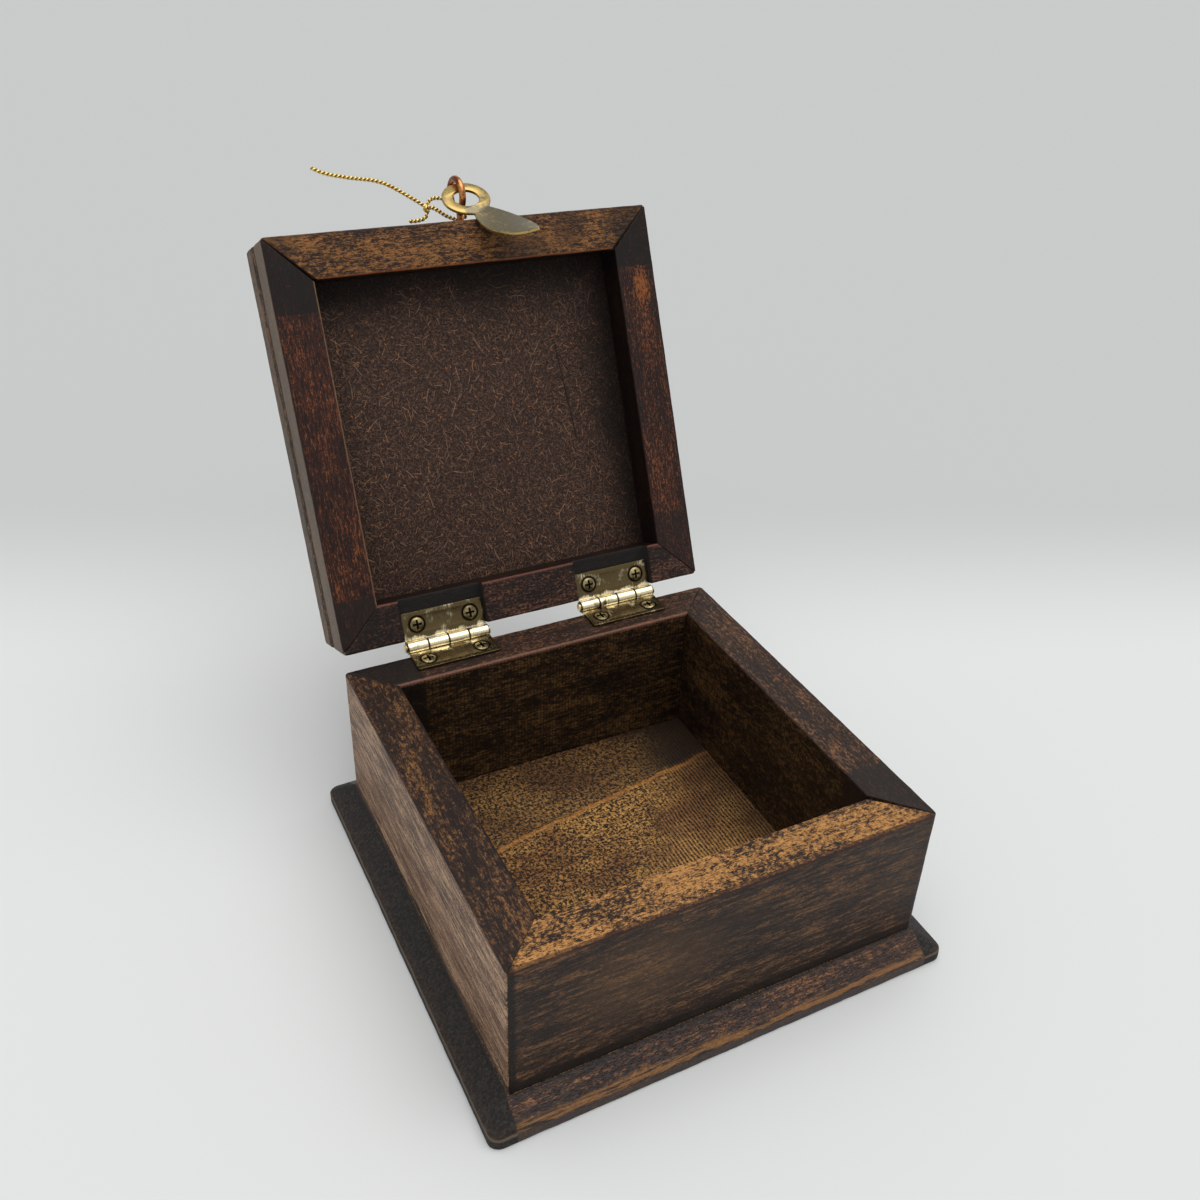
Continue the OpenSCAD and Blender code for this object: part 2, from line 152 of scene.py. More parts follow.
# %% [markdown]
# ## Making a mesh piece
# Each piece is made from lists of points and faces. The points also keep the place that they had
# on their own board or tube, in millimetres, as an attribute called "own". The finishes read it,
# so that grain runs along every board however the board is turned, and stays with a moving lid.

# %% Mesh helper
def mesh_piece(name, points, faces, body, own, placed=None):
    """A piece from points in millimetres. placed, if given, is the matrix that it is moved by."""
    mesh = bpy.data.meshes.new(name)
    matrix = placed or Matrix.Identity(4)
    mesh.from_pydata([matrix @ (Vector(p) * MM) for p in points], [], faces)
    mesh.validate()
    attribute = mesh.attributes.new("own", "FLOAT_VECTOR", "POINT")
    attribute.data.foreach_set("vector", np.array(own, np.float32).ravel())
    mesh.shade_smooth()
    piece = bpy.data.objects.new(name, mesh)
    bpy.context.scene.collection.objects.link(piece)
    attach(piece, body)
    return piece


def ring_faces(rings, sides, start=0):
    """Faces between rings of points that follow each other, and over the two end rings."""
    faces = []
    for ring in range(rings - 1):
        for side in range(sides):
            after = (side + 1) % sides
            a, b = start + ring * sides, start + (ring + 1) * sides
            faces.append((a + side, a + after, b + after, b + side))
    faces.append(tuple(start + side for side in reversed(range(sides))))
    faces.append(tuple(start + (rings - 1) * sides + side for side in range(sides)))
    return faces


print("mesh helpers ready")

# %% [markdown]
# ## The gold thread
# A short tail comes out of a small knot. From the knot the thread goes through the eye and round
# its neck, back to the knot, and out into the long tail. It is one length of two strands twisted
# together. The points below are the same that the solid model follows.

# %% Thread route
THREAD_D = 0.9
KNOT_AT = (-6, 5, 10)
LONG_TAIL = [
    (-6.6, 5.6, 10.1), (-8, 6.7, 10.2), (-9.6, 7.9, 10.5), (-11.4, 9.3, 10.9),
    (-13.3, 10.7, 11.3), (-15.5, 11.9, 11.6), (-17.8, 12.7, 11.8),
    (-20.3, 13.2, 11.9), (-22.8, 13.6, 11.9), (-25.3, 14.1, 11.8),
    (-27.7, 14.6, 11.6), (-30, 15.3, 11.4), (-32.3, 16.4, 11.2),
]
LOOP = [
    (-5.6, 5.8, 10.1), (-4.9, 6.7, 10.3), (-3.8, 7.2, 10.4), (-2.2, 7.1, 10.3),
    (-0.7, 6.5, 10), (0.7, 5.6, 9.7), (2, 5, 9.4), (3.5, 4.7, 9.6),
    (4.4, 3.4, 10.2), (3.7, 2.1, 10.8), (2, 1.7, 10.9), (0.4, 2.2, 10.8),
    (-1.4, 3, 10.5), (-3, 4.1, 10.2), (-4.2, 4.8, 10), (-5.2, 5, 10),
]
SHORT_TAIL = [
    (-6.1, 4.2, 9.9), (-6.5, 3.1, 9.8), (-7.5, 2.4, 9.7), (-9.1, 2.1, 9.7), (-11, 2.1, 9.6),
]


def smooth_path(points, step):
    """Even steps along a smooth curve through the points."""
    p = [np.array(q, float) for q in points]
    p = [2 * p[0] - p[1]] + p + [2 * p[-1] - p[-2]]
    fine = []
    for a, b, c, d in zip(p, p[1:], p[2:], p[3:]):
        for t in np.linspace(0, 1, 16, endpoint=False):
            fine.append(0.5 * (2 * b + (c - a) * t + (2 * a - 5 * b + 4 * c - d) * t**2
                               + (3 * b - 3 * c + d - a) * t**3))
    fine = np.array(fine + [p[-2]])
    along = np.concatenate([[0], np.cumsum(np.linalg.norm(np.diff(fine, axis=0), axis=1))])
    places = np.linspace(0, along[-1], max(2, round(along[-1] / step) + 1))
    return np.column_stack([np.interp(places, along, fine[:, k]) for k in range(3)])


def unit(v):
    return v / np.linalg.norm(v)


def carried_frames(path, first=(0, 0, 1)):
    """A way and a side at every step of a path, with the side carried along untwisted."""
    ways = [unit(w) for w in np.gradient(path, axis=0)]
    sides, side = [], np.array(first, float)
    for way in ways:
        side = unit(side - way * side.dot(way))
        sides.append(side)
    return ways, sides


route = SHORT_TAIL[::-1] + [KNOT_AT] + LOOP + [KNOT_AT] + LONG_TAIL
thread_path = smooth_path(route, 0.16)

# %% [markdown]
# A tube would look like wire. Two round strands that wind round the route's line give the rope-like
# outline and its small shadows. Each point also keeps an angle, which says whether it faces away
# from the other strand or towards it. The gold finish paints shade into the groove between the two with
# it.

# %% Thread strands
TWIST_PITCH = 2.0
STRAND_OFF, STRAND_R, STRAND_LOOSE = 0.31, 0.3, 0.1
STRAND_SIDES = 10


def strand(path, d, phase):
    """Points of a strand that winds round a path, with each point's length along and angle."""
    ways, sides = carried_frames(path)
    points, own = [], []
    step = np.linalg.norm(path[1] - path[0])
    for i, (at, way, side) in enumerate(zip(path, ways, sides)):
        other = np.cross(way, side)
        turn = phase + 2 * math.pi * i * step / TWIST_PITCH
        swell = 1 + STRAND_LOOSE * noise.noise(Vector((i * step * 1.7, phase, 3.1)))
        middle = at + d * STRAND_OFF * swell * (math.cos(turn) * side + math.sin(turn) * other)
        for k in range(STRAND_SIDES):
            angle = 2 * math.pi * k / STRAND_SIDES
            out = math.cos(angle) * side + math.sin(angle) * other
            points.append(middle + d * STRAND_R * out)
            own.append((i * step, (angle - turn) / (2 * math.pi), phase))
    return points, own


def rope(name, path, d, body):
    """Two strands half a turn apart, drawn out from the lid's front face."""
    points, own, faces = [], [], []
    for phase in (0, math.pi):
        more, where = strand(path, d, phase)
        faces += ring_faces(len(path), STRAND_SIDES, start=len(points))
        points += more
        own += where
    placed = to_open_lid @ Matrix.Translation(Vector((0, LID_FRONT_Y, LID_Z)) * MM)
    flipped = [(p[0], -p[1], p[2]) for p in points]
    faces = [tuple(reversed(f)) for f in faces]
    return mesh_piece(name, flipped, faces, body, own, placed=placed)


thread = rope("gold_thread", thread_path, THREAD_D, "lid")
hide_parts("thread_long_tail", "thread_loop", "thread_short_tail")
print("thread", len(thread.data.vertices), "points")

# %% [markdown]
# The knot is an overhand knot pulled tight. A trefoil curve is the shape of an overhand knot whose
# ends are joined, so a small trefoil of the same two strands reads as one.

# %% Knot
KNOT_R = 1.1
KNOT_STEPS = 72
TIGHT = 0.75


def trefoil(middle, r, steps):
    t = np.linspace(0, 2 * math.pi, steps, endpoint=False)
    x = np.sin(t) + 2 * np.sin(2 * t)
    y = np.cos(t) - 2 * np.cos(2 * t)
    z = -1.6 * np.sin(3 * t)
    return np.array(middle) + np.column_stack([z, x, y]) * r / 3


knot_path = trefoil(KNOT_AT, KNOT_R - THREAD_D * STRAND_R, KNOT_STEPS)
knot = rope("thread_knot_wraps", np.vstack([knot_path, knot_path[:2]]), THREAD_D * TIGHT, "lid")
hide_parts("thread_knot")
print("knot", len(knot.data.vertices), "points")

# %% [markdown]
# ## Node helpers
# Finishes are made of shader nodes. They could be placed by hand in the shader editor, but a
# recipe in code is easier to read, repeat and change. A few short helpers keep it short: one adds a
# node and links or sets its sockets by name, and the others wrap the nodes that are used most.

# %% Numbers
def joined(tree, socket, value):
    if isinstance(value, bpy.types.NodeSocket):
        tree.links.new(value, socket)
    else:
        socket.default_value = value


def put(tree, kind, **values):
    """Adds a node. Names with a capital are sockets, and the others are the node's own settings."""
    node = tree.nodes.new("ShaderNode" + kind)
    for name, value in values.items():
        if name[0].isupper():
            joined(tree, node.inputs[name.replace("_", " ")], value)
        else:
            setattr(node, name, value)
    return node


def maths(tree, operation, a, b=0.0):
    node = put(tree, "Math", operation=operation)
    joined(tree, node.inputs[0], a)
    joined(tree, node.inputs[1], b)
    return node.outputs[0]


def times(tree, a, b):
    return maths(tree, "MULTIPLY", a, b)


def highest(tree, *values):
    held = values[0]
    for value in values[1:]:
        held = maths(tree, "MAXIMUM", held, value)
    return held


def total(tree, *parts):
    """The sum of (socket, weight) pairs."""
    sums = [times(tree, socket, weight) for socket, weight in parts]
    made = sums[0]
    for part in sums[1:]:
        made = maths(tree, "ADD", made, part)
    return made


def repeated(tree, value, period):
    """How far a value lies from the nearest whole number of periods."""
    near = maths(tree, "FLOORED_MODULO", maths(tree, "ADD", value, period / 2), period)
    return maths(tree, "ABSOLUTE", maths(tree, "SUBTRACT", near, period / 2))


def rises(tree, value, start, end, low=0.0, high=1.0):
    """A soft step from low to high as value goes from start to end."""
    return put(tree, "MapRange", interpolation_type="SMOOTHSTEP", Value=value, From_Min=start,
               From_Max=end, To_Min=low, To_Max=high).outputs[0]


def outside(tree, mask):
    """1 where the mask is 0, and 0 where it is 1."""
    return rises(tree, mask, 1, 0)


print("number helpers ready")

# %% Vectors
SEED_STEP = (37.1, 11.3, 23.9)


def vectors(tree, operation, a, b=(0, 0, 0)):
    """One step of vector arithmetic. A length or a distance comes out as a number."""
    node = put(tree, "VectorMath", operation=operation)
    joined(tree, node.inputs[0], a)
    joined(tree, node.inputs[1], b)
    return node.outputs["Value" if operation in ("LENGTH", "DISTANCE") else "Vector"]


def grown(tree, vector, factor):
    """The vector times one number."""
    node = put(tree, "VectorMath", operation="SCALE", Scale=factor)
    joined(tree, node.inputs[0], vector)
    return node.outputs[0]


def scaled(tree, vector, scale, shift=(0, 0, 0)):
    """The vector with each of its parts times its own scale."""
    return put(tree, "Mapping", Vector=vector, Scale=scale, Location=shift).outputs[0]


def seeded(tree, at, seed):
    """The vector moved far away by a seed, so that the same noise looks different there."""
    return vectors(tree, "ADD", at, grown(tree, SEED_STEP, seed))


def cloud(tree, vector, scale, detail=3.0, rough=0.6, bend=0.0):
    """Noise over a vector in millimetres. scale says how fast it changes along each axis."""
    at = scaled(tree, vector, scale)
    return put(tree, "TexNoise", Vector=at, Scale=1.0, Detail=detail, Roughness=rough,
               Distortion=bend).outputs[0]


def own_place(tree):
    """The place that a point has on its own board, plate or tube, in millimetres."""
    return put(tree, "Attribute", attribute_name="own").outputs["Vector"]


print("vector helpers ready")

# %% Colours, groups and materials
def colour(hex_text):
    """An opaque colour from its hex text, in the linear values that sockets take."""
    parts = [int(hex_text[i:i + 2], 16) / 255 for i in (1, 3, 5)]
    return tuple(c / 12.92 if c <= 0.04045 else ((c + 0.055) / 1.055) ** 2.4 for c in parts) + (1,)


def blended(tree, factor, a, b):
    node = put(tree, "Mix", data_type="RGBA")
    for place, value in ((0, factor), (6, a), (7, b)):
        joined(tree, node.inputs[place], value)
    return node.outputs[2]


def tinted(tree, shown, mask, strength, tone):
    """The colour so far, with a tone laid over it where the mask is."""
    return blended(tree, times(tree, mask, strength), shown, colour(tone))


def new_group(name, inputs, outputs):
    """A node group with named sockets, from (kind, name, value) and (kind, name)."""
    tree = bpy.data.node_groups.new(name, "ShaderNodeTree")
    for kind, label, value in inputs:
        socket = tree.interface.new_socket(label, in_out="INPUT", socket_type="NodeSocket" + kind)
        if value is not None:
            socket.default_value = value
    for kind, label in outputs:
        tree.interface.new_socket(label, in_out="OUTPUT", socket_type="NodeSocket" + kind)
    return tree, tree.nodes.new("NodeGroupInput").outputs, tree.nodes.new("NodeGroupOutput").inputs


def group_in(tree, group, **values):
    node = tree.nodes.new("ShaderNodeGroup")
    node.node_tree = group
    for name, value in values.items():
        joined(tree, node.inputs[name.replace("_", " ")], value)
    return node.outputs


def new_material(name):
    material = bpy.data.materials.new(name)
    material.use_nodes = True
    return material, material.node_tree, material.node_tree.nodes["Principled BSDF"]


def finished(tree, shader, shown, roughness, specular, height, relief, depth=0.0002):
    """Gives a shader its colour, its gloss and a relief, depth metres deep, from a height."""
    joined(tree, shader.inputs["Base Color"], shown)
    joined(tree, shader.inputs["Roughness"], roughness)
    joined(tree, shader.inputs["Specular IOR Level"], specular)
    bump = put(tree, "Bump", Height=height, Strength=relief, Distance=depth)
    joined(tree, shader.inputs["Normal"], bump.outputs[0])


print("material helpers ready")

# %% [markdown]
# ## Floor, backdrop and light
# The photograph was taken on a seamless pale sheet in soft light. A wide floor takes the soft
# shadow, and behind the box its colour turns greyer: painted shade, where a real sheet would rise
# out of the light. The world is a grey that is much brighter overhead, as under a large soft box.
# Brass mirrors that light above, and the pale sheet all round. One very wide sun gives the shadows their
# side.

# %% Floor and lights
FLOOR_HALF = 3.0
BEHIND = (0.395, 0.919)
SHEET_PALE, SHEET_GREY = 0.085, 0.2
SUN_WAY, SUN_STRENGTH, SUN_WIDE = (-0.16, 0.2, -1), 1.15, 70


def floor_material():
    material, tree, shader = new_material("pale_sheet")
    at = put(tree, "TexCoord").outputs["Object"]
    parts = put(tree, "SeparateXYZ", Vector=at)
    back = total(tree, (parts.outputs[0], BEHIND[0]), (parts.outputs[1], BEHIND[1]))
    # painted shade: the flat floor greys towards the back, as a rising sheet is shaded
    sheet_rise_shade = rises(tree, back, SHEET_PALE, SHEET_GREY)
    sheet = blended(tree, sheet_rise_shade, colour("#d6d8d7"), colour("#bcbebd"))
    joined(tree, shader.inputs["Base Color"], sheet)
    shader.inputs["Roughness"].default_value = 0.8
    shader.inputs["Specular IOR Level"].default_value = 0.2
    return material


def plain_floor():
    h = FLOOR_HALF
    mesh = bpy.data.meshes.new("floor")
    mesh.from_pydata([(-h, -h, 0), (h, -h, 0), (h, h, 0), (-h, h, 0)], [], [(0, 1, 2, 3)])
    floor = bpy.data.objects.new("floor", mesh)
    bpy.context.scene.collection.objects.link(floor)
    floor.data.materials.append(floor_material())


def soft_sun(name, towards, strength, wide):
    light = bpy.data.lights.new(name, "SUN")
    light.energy, light.angle = strength, math.radians(wide)
    sun = bpy.data.objects.new(name, light)
    bpy.context.scene.collection.objects.link(sun)
    sun.rotation_euler = Vector(towards).to_track_quat("-Z", "Y").to_euler()


def studio_world():
    world = bpy.data.worlds.new("studio")
    bpy.context.scene.world = world
    world.use_nodes = True
    tree = world.node_tree
    up = put(tree, "SeparateXYZ", Vector=put(tree, "TexCoord").outputs["Generated"]).outputs[2]
    glow = blended(tree, rises(tree, up, 0.1, 0.7), (0.27, 0.27, 0.27, 1), (0.5, 0.5, 0.5, 1))
    rays = put(tree, "LightPath").outputs
    seen = highest(tree, rays["Is Camera Ray"], rays["Is Glossy Ray"], rays["Is Transmission Ray"])
    sky = blended(tree, seen, glow, colour("#c4c5c5"))
    sky = blended(tree, rises(tree, up, 0.72, 0.9), sky, (1.5, 1.5, 1.5, 1))
    joined(tree, tree.nodes["Background"].inputs["Color"], sky)


plain_floor()
studio_world()
soft_sun("overhead", SUN_WAY, SUN_STRENGTH, SUN_WIDE)
bpy.context.scene.view_settings.view_transform = "Standard"
print("floor and lights set")

# %% [markdown]
# ## The figure of stained wood
# The box is a pale hardwood under a dark walnut stain that was wiped on by hand. Where it pooled it
# is nearly black, along the grain it is reddish brown, and where the cloth took it off it is golden
# in short flecks. One node group makes this from a board's own millimetres, so that each board uses
# the same figure with its own seed and colours. "Wipe" says how much gold shows.

# %% Stained figure
def stained_figure():
    tree, given, made = new_group(
        "stained_figure",
        [("Vector", "At", None), ("Float", "Seed", 0.0), ("Color", "Dark", colour("#1a0f0b")),
         ("Color", "Mid", colour("#4a2b1a")), ("Color", "Gold", colour("#a5672c")),
         ("Float", "Wipe", 0.5), ("Float", "Fleck", 1.0), ("Float", "Length", 2.0)],
        [("Color", "Color"), ("Float", "Gold"), ("Float", "Height")])
    at = seeded(tree, given["At"], given["Seed"])
    wide = cloud(tree, at, (0.05, 0.2, 0.2), 2, 0.5)
    lines = cloud(tree, at, (0.2, 2.6, 2.6), 3, 0.6)
    fine = cloud(tree, at, (1.5, 4.2, 4.2), 3, 0.72)
    longer = put(tree, "CombineXYZ", X=given["Length"], Y=1.0, Z=1.0).outputs[0]
    small = vectors(tree, "DIVIDE", at, grown(tree, longer, given["Fleck"]))
    flecks = cloud(tree, small, (1, 1, 1), 3, 0.7, 0.3)
    tone = total(tree, (wide, 0.4), (lines, 0.8), (flecks, 0.9), (fine, 0.9))
    brown = blended(tree, rises(tree, tone, 1.3, 1.72), given["Dark"], given["Mid"])
    rubbed = total(tree, (flecks, 1.0), (fine, 0.9), (lines, 0.45), (wide, 0.45), (given["Wipe"], 0.6))
    gold = rises(tree, rubbed, 1.66, 1.95)
    shown = blended(tree, gold, brown, given["Gold"])
    pits = times(tree, rises(tree, cloud(tree, at, (0.9, 5.5, 5.5), 2, 0.6), 0.53, 0.66), 0.8)
    joined(tree, made["Color"], blended(tree, pits, shown, given["Dark"]))
    joined(tree, made["Gold"], gold)
    joined(tree, made["Height"], total(tree, (fine, 0.6), (lines, 0.3), (pits, -0.4)))
    return tree


STAINED = stained_figure()
print("figure group", len(STAINED.nodes), "nodes")

# %% [markdown]
# ## A board's finish
# A board shows three faces: the rim, where lid and box meet, the outer face and the inner face.
# Each has its own colours, its own length of fleck and its own amount of wiping. They could be
# three materials, but one that blends them by place has no hard line at the edges.

# %% Faces of a board
RIM, OUTER, INNER = 0, 1, 2


def look(wipe, mid, gold, dark="#1a0f0b", length=2.0):
    """One face's share of gold, its three colours and how long its flecks are."""
    return {"wipe": float(wipe), "mid": mid, "gold": gold, "dark": dark, "length": float(length)}


def by_face(tree, rim, inner, looks, key):
    """One value or colour for the three faces of a board."""
    values = [face[key] if isinstance(face[key], float) else colour(face[key]) for face in looks]
    if isinstance(values[0], float):
        outer = rises(tree, rim, 0, 1, values[OUTER], values[RIM])
        gap = maths(tree, "SUBTRACT", values[INNER], outer)
        return maths(tree, "ADD", outer, times(tree, inner, gap))
    return blended(tree, inner, blended(tree, rim, values[OUTER], values[RIM]), values[INNER])


print("a look holds", ", ".join(look(0, "", "")))

# %% [markdown]
# Over the figure come the marks: layers up the board, stretches along it where the stain pooled,
# soft patches, and lines along the rim's edges. A mark fades over a short stretch that noise makes
# a little ragged, because a clean edge would look printed.

# %% Marks on a board
def distance_in(tree, at, middle, reach, ragged):
    """How many reaches a point lies away from a middle, with a ragged outline."""
    centre = [-m / r for m, r in zip(middle, reach)]
    away = vectors(tree, "LENGTH", scaled(tree, at, [1 / r for r in reach], centre))
    return maths(tree, "ADD", away, times(tree, ragged, 1.2))


def with_layers(tree, shown, layers, up, ragged, outer):
    """Layers up the outer face, each (low, high, soft, strength, tone)."""
    for low, high, soft, strength, tone in layers:
        level = maths(tree, "ADD", up, times(tree, ragged, soft))
        held = times(tree, rises(tree, level, low, low + soft), rises(tree, level, high + soft, high))
        shown = tinted(tree, shown, times(tree, held, outer), strength, tone)
    return shown


def with_blocks(tree, shown, blocks, along, ragged, specks):
    """Pooled stain from a start to the board's end, each (start, full, strength, tone)."""
    frayed = maths(tree, "ADD", along, times(tree, ragged, 1.4))
    for start, full, strength, tone in blocks:
        held = times(tree, rises(tree, frayed, start, full), specks)
        shown = tinted(tree, shown, held, strength, tone)
    return shown


def with_patches(tree, shown, patches, at, ragged, specks):
    """Soft patches, each (middle, reach, strength, tone)."""
    for middle, reach, strength, tone in patches:
        away = distance_in(tree, at, middle, reach, ragged)
        held = times(tree, rises(tree, away, 1.15, 0.45), specks)
        shown = tinted(tree, shown, held, strength, tone)
    return shown


def with_edges(tree, shown, edges, across, lift, band, ragged, specks):
    """Lines along the rim's two edges, each (side, width, strength, tone)."""
    for side, width, strength, tone in edges:
        inward = across if side == OUTER else maths(tree, "SUBTRACT", band, across)
        away = total(tree, (inward, 1.0), (lift, 1.0), (ragged, width * 0.9))
        held = times(tree, rises(tree, away, width, width * 0.6), specks)
        shown = tinted(tree, shown, held, strength, tone)
    return shown


print("marks ready")

# %% Board finish
SAW_PITCH = 0.9


def board_finish(name, seed, looks, band, lift_from=0.0, lift_way=1, fleck=1.0, layers=(),
                 blocks=(), patches=(), wiped=(), edges=(), gloss=0.5, outer_blocks=True,
                 saw_marks=0.0):
    """looks is (rim, outer, inner), band is how wide the rim is, and lift is how far a point lies
    behind the rim's face. wiped are places with more gold, each (middle, reach, amount)."""
    material, tree, shader = new_material(name)
    at = own_place(tree)
    along, across, up = put(tree, "SeparateXYZ", Vector=at).outputs
    lift = maths(tree, "ADD", times(tree, up, lift_way), lift_from)
    rim = rises(tree, lift, 0.3, 0.12)
    inner = times(tree, rises(tree, across, band - 0.4, band - 0.15), outside(tree, rim))
    outer = times(tree, outside(tree, rim), outside(tree, inner))
    ragged = maths(tree, "SUBTRACT", cloud(tree, at, (0.7, 0.7, 0.7), 4, 0.7), 0.5)
    specks = rises(tree, cloud(tree, at, (1.2, 3, 3), 3, 0.7), 0.5, 0.66, 1.0, 0.6)
    face = {key: by_face(tree, rim, inner, looks, key) for key in looks[0]}
    for middle, reach, amount in wiped:
        more = rises(tree, distance_in(tree, at, middle, reach, ragged), 1.15, 0.2, 0, amount)
        face["wipe"] = maths(tree, "ADD", face["wipe"], more)
    figure = group_in(tree, STAINED, At=at, Seed=seed, Wipe=face["wipe"], Mid=face["mid"],
                      Gold=face["gold"], Dark=face["dark"], Fleck=fleck, Length=face["length"])
    shown = with_layers(tree, figure["Color"], layers, up, ragged, outer)
    pooled = specks if outer_blocks else times(tree, specks, outside(tree, outer))
    shown = with_blocks(tree, shown, blocks, along, ragged, pooled)
    shown = with_patches(tree, shown, patches, at, ragged, specks)
    shown = with_edges(tree, shown, edges, across, lift, band, ragged, specks)
    saw = times(tree, total(tree, (along, 1.0), (ragged, 0.5)), 2 * math.pi / SAW_PITCH)
    saw = times(tree, rises(tree, maths(tree, "SINE", saw), -0.2, 0.9), inner)
    shown = tinted(tree, shown, saw, saw_marks, "#0f0906")
    gloss = rises(tree, figure["Gold"], 0, 1, gloss, gloss + 0.1)
    finished(tree, shader, shown, gloss, 0.25, figure["Height"], 0.5)
    return material


print("board finish ready")

# %% [markdown]
# ## Walls and rails
# Each wall and rail is one board sawn at 45 degrees at both ends. It is made as a section that is
# swept along the board in short steps. The last steps are squeezed so that the ends lie on the
# mitre, and drawn in by a hair, which leaves the fine dark line that shows at every corner.

# %% Board section
WALL_STEP, RAIL_STEP = 1.0, 0.6
EDGE_SOFT, EDGE_ARC = 0.4, 3


def soft_section(outline, step):
    """A closed outline with its corners rounded and its runs cut into short steps."""
    p = [np.array(q, float) for q in outline]
    made = []
    for i, here in enumerate(p):
        before, after = p[i - 1], p[(i + 1) % len(p)]
        start, end = here + unit(before - here) * EDGE_SOFT, here + unit(after - here) * EDGE_SOFT
        for t in np.linspace(0, 1, EDGE_ARC + 1):
            made.append((1 - t) ** 2 * start + 2 * t * (1 - t) * here + t**2 * end)
        stop = after + unit(here - after) * EDGE_SOFT
        steps = max(1, round(np.linalg.norm(stop - end) / step))
        made += [end + (stop - end) * k / steps for k in range(1, steps)]
    return np.array(made)


def grooved(section):
    """Presses the groove into the outer face of a rail's section."""
    r = ((GROOVE_W / 2) ** 2 + GROOVE_DEPTH**2) / (2 * GROOVE_DEPTH)
    made = []
    for d, z in section:
        up = z - GROOVE_UP
        if d < 0.01 and abs(up) < GROOVE_W / 2:
            d = math.sqrt(r * r - up * up) - r + GROOVE_DEPTH
        made.append((d, z))
    return np.array(made)


WALL_H = RIM_Z - PLINTH_TOP
wall_section = soft_section([(0, 0), (WALL_T, 0), (WALL_T, WALL_H), (0, WALL_H)], WALL_STEP)
rail_section = grooved(soft_section(
    [(0, 0), (RAIL_W, 0), (RAIL_W, RECESS), (RAIL_W - STEP_W, RECESS), (RAIL_W - STEP_W, LID_H),
     (0, LID_H)], RAIL_STEP))
print("sections", len(wall_section), len(rail_section), "points")

# %% Mitred ends
STATION = 1.0
END_STATIONS, END_L = (0.3, 0.8, 1.3, 1.9, 2.6), 3.0
CUT_HALF, CUT_CLEAR = 0.06, 0.3
MITRE_BEVEL, MITRE_SPARE = 0.2, 2.0
SLOT_BLEND = 6.0


def inset(section, by):
    """The section drawn in by a distance, point by point."""
    ways = np.roll(section, -1, axis=0) - np.roll(section, 1, axis=0)
    ways /= np.linalg.norm(ways, axis=1)[:, None]
    return section + by * np.column_stack([-ways[:, 1], ways[:, 0]])


def stations(length, cuts=()):
    """Places along a board, closer at its ends and doubled at each cut."""
    half = length / 2
    places = set(np.round(np.arange(-half + END_L, half - END_L, STATION), 3))
    places |= {s * (half - v) for v in END_STATIONS for s in (-1, 1)} | {-half, half}
    for cut in cuts:
        places = {v for v in places if abs(v - cut) > CUT_CLEAR}
        places |= {cut - CUT_HALF, cut + CUT_HALF}
    return sorted(places)


def squeezed(x, d, length, band, gaps):
    """Where a place along the board comes to lie at depth d, so that its end is on the mitre.
    A gap lets the mitre stand open a little towards the inside."""
    half = length / 2
    edge = half - band - MITRE_SPARE
    if abs(x) <= edge:
        return x
    end = half - d * (1 + gaps[x > 0])
    return math.copysign(edge + (abs(x) - edge) * (end - edge) / (half - edge), x)


def rounded_corner(x, d, length, r):
    """Bends what lies in the board's outer corner on to an arc."""
    a, b = abs(x) - (length / 2 - r), r - d
    if a <= 0 or b <= 0:
        return x, d
    pull = max(a, b) / math.hypot(a, b)
    return math.copysign(length / 2 - r + a * pull, x), r - b * pull


print("stations along a wall", len(stations(BOX_W)))

# %% Mitred board
BOARD_HEART = (0, 5, 12)


def board(length, depth, section, band, gaps, slots=(), slot_depth=0.0):
    """Points of a board along the front of a frame, with each point's own place, and its faces."""
    cuts = [edge for ends in slots for edge in ends]
    places = stations(length, cuts)
    drawn = inset(section, MITRE_BEVEL)
    rings = [(places[0], drawn)] + [(x, section) for x in places[1:-1]] + [(places[-1], drawn)]
    points, own = [], []
    for x, ring in rings:
        lifted = any(low < x < high for low, high in slots)
        for d, z in ring:
            if lifted and z < SLOT_BLEND:
                z = slot_depth + z * (SLOT_BLEND - slot_depth) / SLOT_BLEND
            wide, deep = rounded_corner(squeezed(x, d, length, band, gaps), d, length, CORNER_R)
            points.append((wide, deep - depth / 2, z))
            own.append((wide, deep, z))
    return points, own, ring_faces(len(rings), len(section))


def worn(points, own, seed, amount, nicks):
    """Moves the surface a little, as sanding by hand leaves it, and pushes in a few nicks."""
    made = []
    for p, o in zip(points, own):
        at = Vector(o) * 0.22 + Vector((seed * 7.7, seed, 0))
        fine = Vector(o) * 1.1 + Vector((seed, 0, seed * 3.3))
        moved = Vector(p) + noise.noise_vector(at) * amount + noise.noise_vector(fine) * amount * 0.4
        for place, reach, depth in nicks:
            near = 1 - (Vector(o) - Vector(place)).length / reach
            if near > 0:
                inward = Vector([heart - v for heart, v in zip(BOARD_HEART, o)]).normalized()
                moved += inward * depth * near * near * (3 - 2 * near)
        made.append(moved)
    return made


def turned(points, degrees, shift=(0, 0, 0)):
    spin = Matrix.Rotation(math.radians(degrees), 3, "Z")
    return [spin @ Vector(p) + Vector(shift) for p in points]


print("boards ready")
